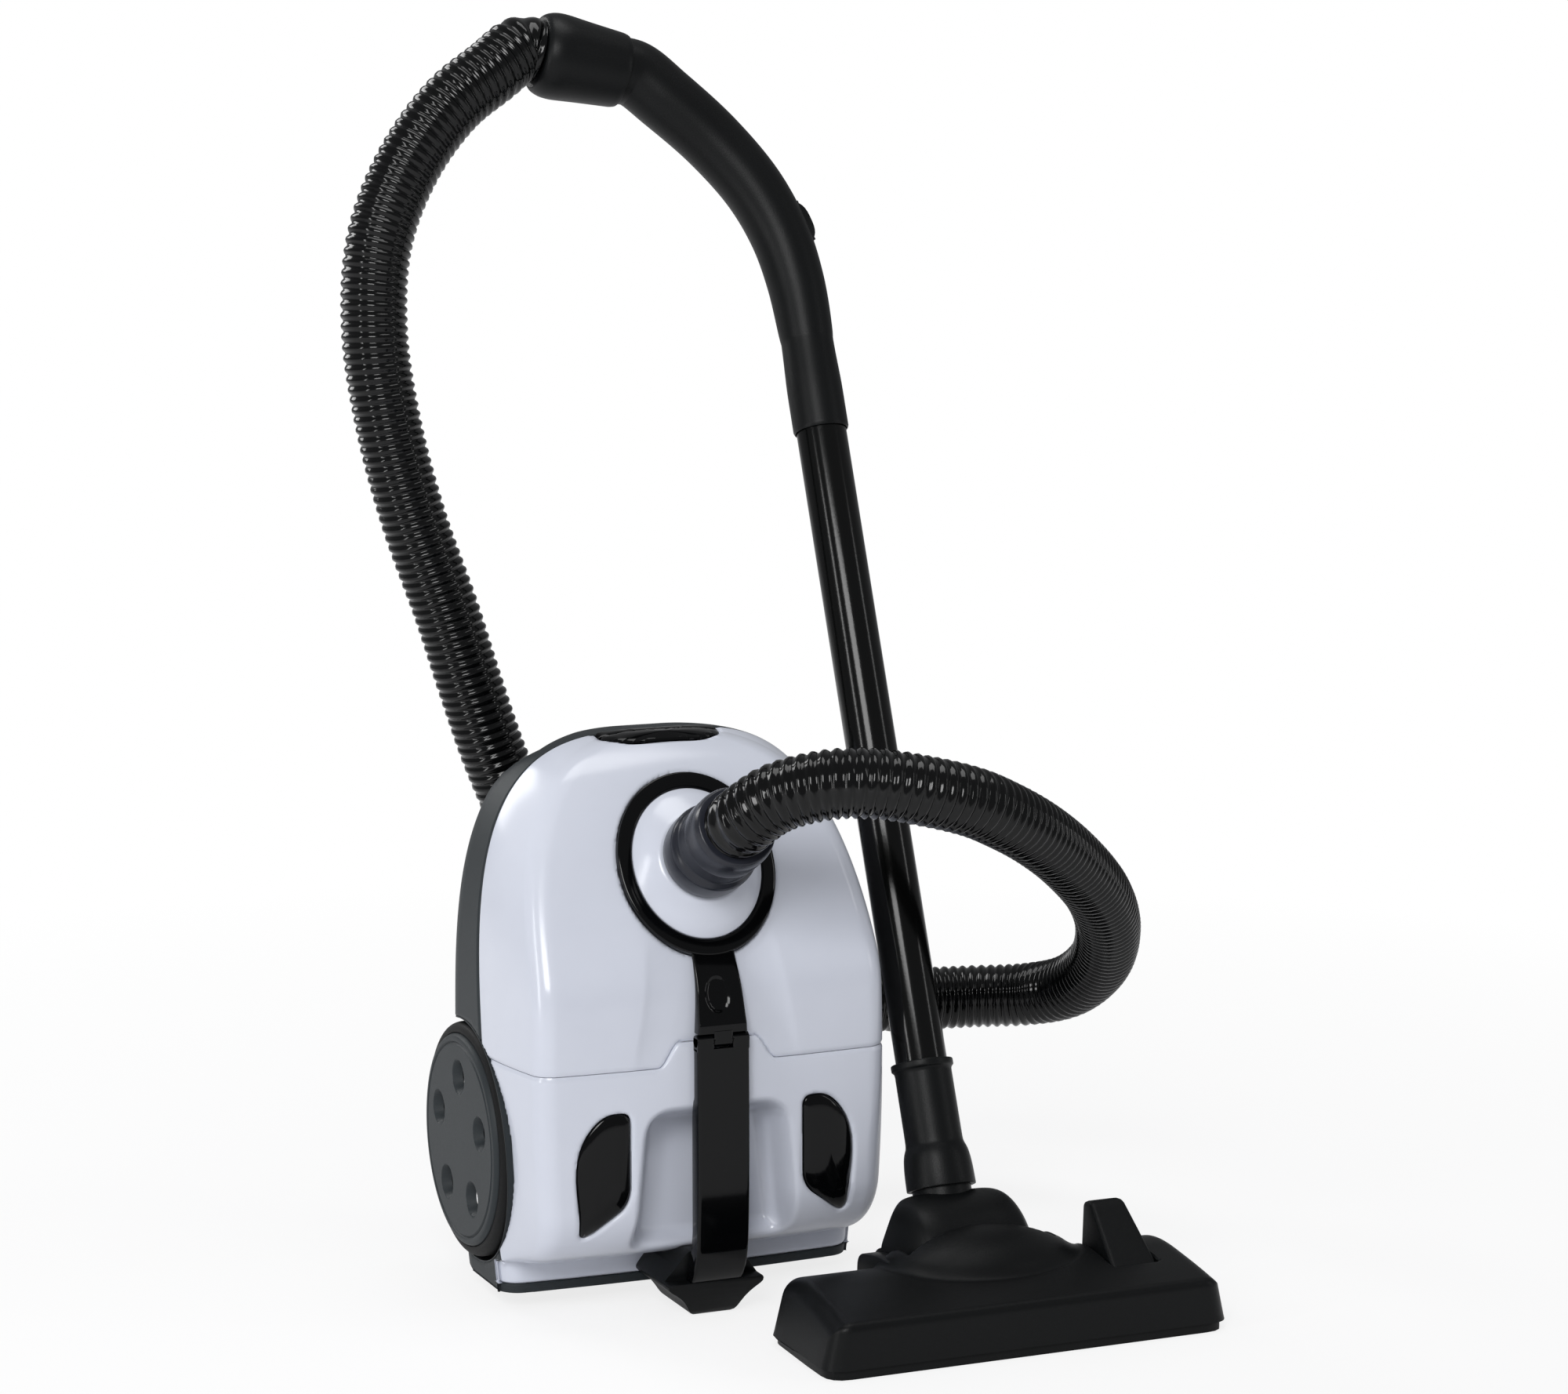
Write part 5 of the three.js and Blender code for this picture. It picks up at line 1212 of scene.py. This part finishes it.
def past_plane(angle, side):
    """Distance in front of (or behind) a plane through the hood's axis."""
    c, s = math.cos(math.radians(angle)), math.sin(math.radians(angle))
    return lambda x, y, z: side * (c * (z - NECK_Z) - s * (y - NECK_Y))


def hood_rod(name, radius, half, rounding, steps, sides):
    """A solid bar along the hood's axis."""
    corners = [(0, -half, 0), (radius, -half, rounding), (radius, half, rounding), (0, half, 0)]
    return turn_profile(name, rounded_polygon(corners, steps), NECK, ACROSS, sides)


spout = rounded_polygon([(14, 20, 0), (18.5, 20, 0), (18.5, 62, 0.8), (14, 62, 0.5)], 4)
hood = join_pieces("swivel_hood", [
    trimmed_skin("shell", hood_grid, [past_plane(80, 1), past_plane(178, -1)], 0.8, 2.4),
    turn_profile("hood_spout", spout, NECK, WAND_UP, 80),
    hood_rod("hood_axle", 6, 59, 0.6, 3, 40),
    hood_rod("hood_barrel", 15, 48.5, 1, 4, 64),
])
placed(hood, "neck", "neck_hood", "black_matte")

# %% [markdown]
# ## Brush pedal
# The paddle is a flat bar that leans back, narrows upwards and rounds over at its tip. It is
# built from the same sections as the strap.

# %% Brush pedal
PADDLE_FOOT_HALF, PADDLE_TIP_HALF = 15, 11.5
paddle_rings = []
for k in range(41):
    t = k / 40
    tip = 1 - math.sqrt(max(0, 1 - max(0, (t - 0.9) / 0.1) ** 2))
    half = PADDLE_FOOT_HALF + (PADDLE_TIP_HALF - PADDLE_FOOT_HALF) * max(0, (t - 0.1) / 0.9)
    half -= 2.6 * tip
    front = Vector((-149, 35)).lerp(Vector((-108.5, 69)), t) + Vector((1.6, -0.4)) * tip
    back = Vector((-104, 30)).lerp(Vector((-99, 67)), t) + Vector((-1.2, -0.2)) * tip
    paddle_rings.append(bar_ring(PEDAL_X - half, PEDAL_X + half, front, back, corner=2.4))
paddle = skin_rings("brush_pedal_paddle", paddle_rings)
placed(paddle, "tool_pedal", "brush_pedal", "black_matte")

# %% [markdown]
# ## Latch, pedals and small mouldings
# The latch is cut out of the housing's own form, so it follows the nose, and it stands a
# little proud. Only its front bar moves: the piece behind it is fixed to the lid. The pedals
# are domed: rings of their outline step inwards and forwards.

# %% Latch
LATCH_SPLIT, LATCH_FOOT = 62, 331


def latch_part(name, *cuts):
    """A part of the black cap in the nose: the moving bar, or the fixed piece behind it."""
    return trimmed_skin(
        name,
        section_grid(front_half, nose_heights(LATCH_FOOT - 1, 1.7)),
        [
            lambda x, y, z: -outline_distance(LATCH_OUTLINE, x, y),
            lambda x, y, z: z - LATCH_FOOT,
            *cuts,
        ],
        edge=1.0,
        wall=1.2,
        proud=0.7,
    )


latch_bar = latch_part("latch_bar", lambda x, y, z: LATCH_SPLIT - y)
placed(latch_bar, "latch", "lid_latch", "black_gloss")
surround = latch_part(
    "latch_surround", lambda x, y, z: y - LATCH_SPLIT - OPENING_GAP, before_seam
)
placed(surround, "lid", None, "black_gloss")

# %% Pedals
DOME_STEPS = [
    (0, 5), (0, 1.6), (0.3, 0.9), (1, 0.35), (2, 0), (4, -0.5), (7, -0.9), (11, -1.2), (15, -1.35),
]


def cover_front(x, z):
    """How far forward the rear cover's face is at a place."""
    crease = float(half_width(np.float64(z))) - CREASE_IN
    return float(face_y(np.float64(z))) + CROWN * (x / crease) ** 2


def domed_pedal(name, side):
    outline = [Vector(p) for p in pedal_outline(side, -0.1)]
    centre = sum(outline, Vector((0, 0))) / len(outline)
    rings = []
    for inset, sunk in DOME_STEPS:
        ring = []
        for p in outline:
            share = max(0.02, 1 - inset / (p - centre).length)
            x, z = centre + (p - centre) * share
            ring.append(Vector((x, cover_front(x, z) + 0.7 + sunk, z)) * MM)
        rings.append(ring)
    return skin_rings(name, rings, angle=50)


for side, name in ((-1, "power_pedal"), (1, "rewind_pedal")):
    placed(domed_pedal(name + "_button", side), name, name, "black_gloss")

# %% [markdown]
# ## Small mouldings
# These CAD nodes already have the right form. They are copied with every hard edge rounded
# over, because a real moulding has no sharp edge and the round catches the light.

# %% Softened copies of CAD nodes
SOFTENED = {
    "front_foot": 0.8, "rear_foot_left": 0.6, "rear_foot_right": 0.6, "suction_slider": 0.4,
    "tool_sole": 0.4, "tool_wheel_left": 0.4, "tool_wheel_right": 0.4, "caster_fork": 0.6,
    "caster_wheel": 0.5, "exhaust_grille": 0.3, "cord_gland": 0.4, "bag_collar": 0.4,
    "bag_holder": 0.5, "lid_seal": 0.4,
}
FLAT, HARD = math.radians(1), math.radians(28)
NODE_SLOT = {part["node"]: part["material_slot"] for part in frame["record"]["subparts"]}


def softened(node, width):
    """A copy of a CAD node with its flat faces merged and its hard edges rounded over."""
    mesh = frame["nodes"][node].data.copy()
    with editing(mesh) as work:
        bmesh.ops.remove_doubles(work, verts=work.verts, dist=SAME_POINT)
        bmesh.ops.dissolve_limit(work, angle_limit=FLAT, verts=work.verts, edges=work.edges)
        joined = [e for e in work.edges if len(e.link_faces) == 2]
        hard = [e for e in joined if e.calc_face_angle(0) > HARD]
        bmesh.ops.bevel(
            work, geom=hard, offset=width * MM, segments=2, profile=0.5, affect="EDGES",
            clamp_overlap=True,
        )
    return new_piece(node + "_moulded", mesh, 34)


for body, nodes in frame["record"]["behaviour"]["bodies"].items():
    for node in nodes:
        if node in SOFTENED:
            placed(softened(node, SOFTENED[node]), body, node, NODE_SLOT[node])

# %% [markdown]
# ## Dust bag
# A filled bag of non-woven paper swells until it meets the walls round it, and its skin stays
# full of shallow creases. A voxel remesh turns the plain solid into an even skin, smoothing
# rounds its corners, and ridged noise presses the creases in, never out.

# %% Dust bag
BAG_VOXEL, CREASE_SIZE, CREASE_DEPTH = 3.2, 26, 2.2


def filled_bag(name):
    bag = new_object(name, frame["nodes"]["dust_bag"].data.copy())
    skin = bag.modifiers.new("even_skin", "REMESH")
    skin.mode = "VOXEL"
    skin.voxel_size = BAG_VOXEL * MM
    rounding = bag.modifiers.new("rounding", "SMOOTH")
    rounding.factor = 0.7
    rounding.iterations = 16
    mesh = applied(bag)
    bag.modifiers.clear()
    bag.data = mesh
    normals = [v.normal.copy() for v in mesh.vertices]
    for v, normal in zip(mesh.vertices, normals):
        at = v.co / MM / CREASE_SIZE
        ridge = 1 - min(1, abs(noise.noise(at)) * 5)
        small = 1 - min(1, abs(noise.noise(at * 2.3 + Vector((7, 3, 5)))) * 4)
        v.co -= normal * (ridge**1.5 + 0.45 * small**2) * CREASE_DEPTH * MM
    shade(mesh, 0)
    return bag


placed(filled_bag("filled_paper_bag"), "canister", "dust_bag", "paper")

# %% [markdown]
# ## Materials
# Nearly everything is moulded plastic, and plastics differ by polish and grain more than by
# colour. Colours are written as sRGB hex and turned to linear light once. Grain is real:
# spark-eroded texture is about half a millimetre across, orange peel on gloss is a few.

# %% Colour and node helpers
BLOTCH_MM, GRAIN_DEPTH = 60, 0.0003


def linear(hex_colour):
    """An sRGB hex string as a linear RGBA colour."""
    parts = [int(hex_colour[i : i + 2], 16) / 255 for i in (1, 3, 5)]
    return (*[p / 12.92 if p <= 0.04045 else ((p + 0.055) / 1.055) ** 2.4 for p in parts], 1)


def set_inputs(tree, node, inputs):
    """Gives each input its value, or joins it to another node's output."""
    for key, value in inputs.items():
        if isinstance(value, bpy.types.NodeSocket):
            tree.links.new(value, node.inputs[key])
        else:
            node.inputs[key].default_value = value


def add_node(tree, kind, inputs=None, **settings):
    node = tree.nodes.new(kind)
    for key, value in settings.items():
        setattr(node, key, value)
    set_inputs(tree, node, inputs or {})
    return node


def moulded(name, colour, dark, rough, spread, grain_mm, bump, ior, reflection=0.5, metal=0):
    """Moulded plastic: colour drifts a little, and fine grain breaks up the gloss."""
    material = bpy.data.materials.new(name)
    material.use_nodes = True
    tree = material.node_tree
    place = add_node(tree, "ShaderNodeTexCoord").outputs["Object"]
    blotch, grain = [
        add_node(
            tree, "ShaderNodeTexNoise", {"Vector": place, "Scale": 1000 / size, "Detail": detail}
        ).outputs["Fac"]
        for size, detail in ((BLOTCH_MM, 3), (grain_mm, 2))
    ]
    tint = add_node(
        tree, "ShaderNodeMix", {0: blotch, 6: linear(colour), 7: linear(dark)}, data_type="RGBA"
    )
    limits = {"To Min": max(0.02, rough - spread), "To Max": rough + spread}
    gloss = add_node(tree, "ShaderNodeMapRange", {"Value": grain, **limits})
    relief = add_node(
        tree, "ShaderNodeBump", {"Height": grain, "Strength": bump, "Distance": GRAIN_DEPTH}
    )
    set_inputs(tree, tree.nodes["Principled BSDF"], {
        "Base Color": tint.outputs[2],
        "Roughness": gloss.outputs["Result"],
        "Normal": relief.outputs["Normal"],
        "IOR": ior,
        "Specular IOR Level": reflection,
        "Metallic": metal,
    })
    return material


# %% The finish of each slot, and of the hose
# Name, colour, darker colour, roughness and its spread, grain in mm, relief, index of
# refraction, and the strength of the reflection where it isn't the usual 0.5.
FINISH_ROWS = {
    "white_gloss": ("white_gloss_abs", "#cfd3de", "#c6cad6", 0.2, 0.03, 5, 0.03, 1.53),
    "charcoal_matte": (
        "charcoal_textured_abs", "#2b3033", "#24292c", 0.5, 0.08, 0.6, 0.3, 1.53, 0.22
    ),
    "black_gloss": ("black_gloss_abs", "#050607", "#040405", 0.08, 0.02, 6, 0.02, 1.53, 0.2),
    "black_matte": (
        "black_satin_polypropylene", "#0c0e0f", "#08090a", 0.4, 0.07, 0.7, 0.25, 1.49, 0.18
    ),
    "cuff_grey": ("blue_grey_satin_abs", "#24262e", "#1e2027", 0.24, 0.04, 3, 0.06, 1.53, 0.3),
    "tube_black": ("black_powder_coat", "#070808", "#050505", 0.14, 0.03, 1.2, 0.06, 1.5, 0.25),
    "rubber_black": (
        "black_moulded_rubber", "#090a0b", "#070708", 0.6, 0.1, 0.9, 0.35, 1.52, 0.2
    ),
    "steel": ("drawn_steel", "#b5b9bd", "#a4a8ac", 0.3, 0.06, 0.8, 0.1, 1.5, 0.5, 1),
    "paper": ("nonwoven_bag_paper", "#dccfae", "#cdbf9a", 0.9, 0.05, 1.5, 0.6, 1.5),
    "foam": ("open_cell_foam", "#43474a", "#2a2d2f", 0.95, 0.04, 1.2, 1.0, 1.45),
    "motor_grey": ("glass_filled_nylon", "#7b8083", "#6b7073", 0.5, 0.08, 1.0, 0.3, 1.53),
    "bristle": ("nylon_bristle", "#1c1c1e", "#0f0f10", 0.7, 0.1, 0.4, 1.0, 1.53),
}
FINISHES = {slot: moulded(*row) for slot, row in FINISH_ROWS.items()}
hose.data.materials.append(moulded(
    "black_gloss_vinyl", "#060707", "#040405", 0.11, 0.03, 2, 0.04, 1.54, 0.26
))
print("materials:", len(bpy.data.materials))

# %% Finish the CAD nodes that keep their shape, and every finer piece
shown = [(frame["nodes"][node], slot) for node, slot in NODE_SLOT.items()]
shown += [(bpy.data.objects[name], slot) for name, slot in SLOT_OF.items()]
for thing, slot in shown:
    thing.data.materials.clear()
    thing.data.materials.append(FINISHES[slot])
print("finished meshes:", len(shown) + 1)

# %% [markdown]
# ## Floor, backdrop and light
# The floor and the sky read as white paper to the camera; in reflections the floor keeps a
# share of that white and the sky shows only its mild light. Only the lamps and a mild sky
# light the object, so its own colours stay as they are written.

# %% Floor
REFLECTED_PAPER, SKY_LIGHT = 0.26, 0.26
floor_mesh = bpy.data.meshes.new("floor")
floor_mesh.from_pydata([(-9, -9, 0), (9, -9, 0), (9, 9, 0), (-9, 9, 0)], [], [(0, 1, 2, 3)])
new_object("floor", floor_mesh)
paper = bpy.data.materials.new("white_paper_floor")
paper.use_nodes = True
tree = paper.node_tree
tree.nodes.remove(tree.nodes["Principled BSDF"])
ray = add_node(tree, "ShaderNodeLightPath").outputs
spot = add_node(tree, "ShaderNodeTexCoord").outputs["Object"]
away = add_node(tree, "ShaderNodeVectorMath", {0: spot}, operation="LENGTH")
glossy = add_node(
    tree, "ShaderNodeMath", {0: ray["Is Glossy Ray"], 1: REFLECTED_PAPER}, operation="MULTIPLY"
)
seen = add_node(
    tree, "ShaderNodeMath", {0: ray["Is Camera Ray"], 1: glossy.outputs[0]}, operation="MAXIMUM"
)
fade = add_node(tree, "ShaderNodeMapRange", {
    "Value": away.outputs["Value"],
    "From Min": 0.5, "From Max": 1.4, "To Min": 0.8, "To Max": 1.0,
})
share = add_node(
    tree, "ShaderNodeMath", {0: seen.outputs[0], 1: fade.outputs["Result"]}, operation="MULTIPLY"
)
sheet = add_node(tree, "ShaderNodeBsdfDiffuse", {"Color": (0.92, 0.92, 0.93, 1)})
glow = add_node(tree, "ShaderNodeEmission", {"Color": (1, 1, 1, 1), "Strength": 1.0})
either = add_node(
    tree, "ShaderNodeMixShader", {0: share.outputs[0], 1: sheet.outputs[0], 2: glow.outputs[0]}
)
set_inputs(tree, tree.nodes["Material Output"], {"Surface": either.outputs[0]})
floor_mesh.materials.append(paper)
print("floor:", len(tree.nodes), "nodes")

# %% Sky
world = bpy.data.worlds.new("studio")
bpy.context.scene.world = world
world.use_nodes = True
tree = world.node_tree
sky = tree.nodes["Background"]
set_inputs(tree, sky, {"Color": (0.97, 0.98, 1.0, 1), "Strength": SKY_LIGHT})
backdrop = add_node(tree, "ShaderNodeBackground", {"Color": (1, 1, 1, 1), "Strength": 1.0})
sky_ray = add_node(tree, "ShaderNodeLightPath").outputs["Is Camera Ray"]
choose = add_node(
    tree, "ShaderNodeMixShader", {0: sky_ray, 1: sky.outputs[0], 2: backdrop.outputs[0]}
)
set_inputs(tree, tree.nodes["World Output"], {"Surface": choose.outputs[0]})
print("sky light:", SKY_LIGHT)

# %% Lamps
LAMPS = [
    # name, place and aim in metres, width and height in metres, power in watts
    ("key_front_left", (-1.5, -2.4, 2.0), (0, 0, 0.3), 1.2, 1.2, 54),
    ("streak_left", (-2.4, -0.7, 0.9), (0, 0, 0.4), 0.25, 1.8, 14),
    ("fill_right", (2.3, -1.5, 1.2), (0.1, 0, 0.3), 0.25, 1.6, 5),
    ("top", (0.2, 0.1, 2.7), (0.1, 0, 0.3), 1.6, 1.0, 18),
    ("rear_rim", (-1.2, 2.2, 1.6), (0.1, 0.1, 0.4), 1.0, 1.4, 22),
]
for name, place, target, width, height, power in LAMPS:
    lamp = bpy.data.lights.new(name, "AREA")
    lamp.shape = "RECTANGLE"
    lamp.size, lamp.size_y, lamp.energy = width, height, power
    aim(new_object(name, lamp), place, target)
bpy.context.scene.view_settings.view_transform = "Standard"
print("lamps:", len(LAMPS))
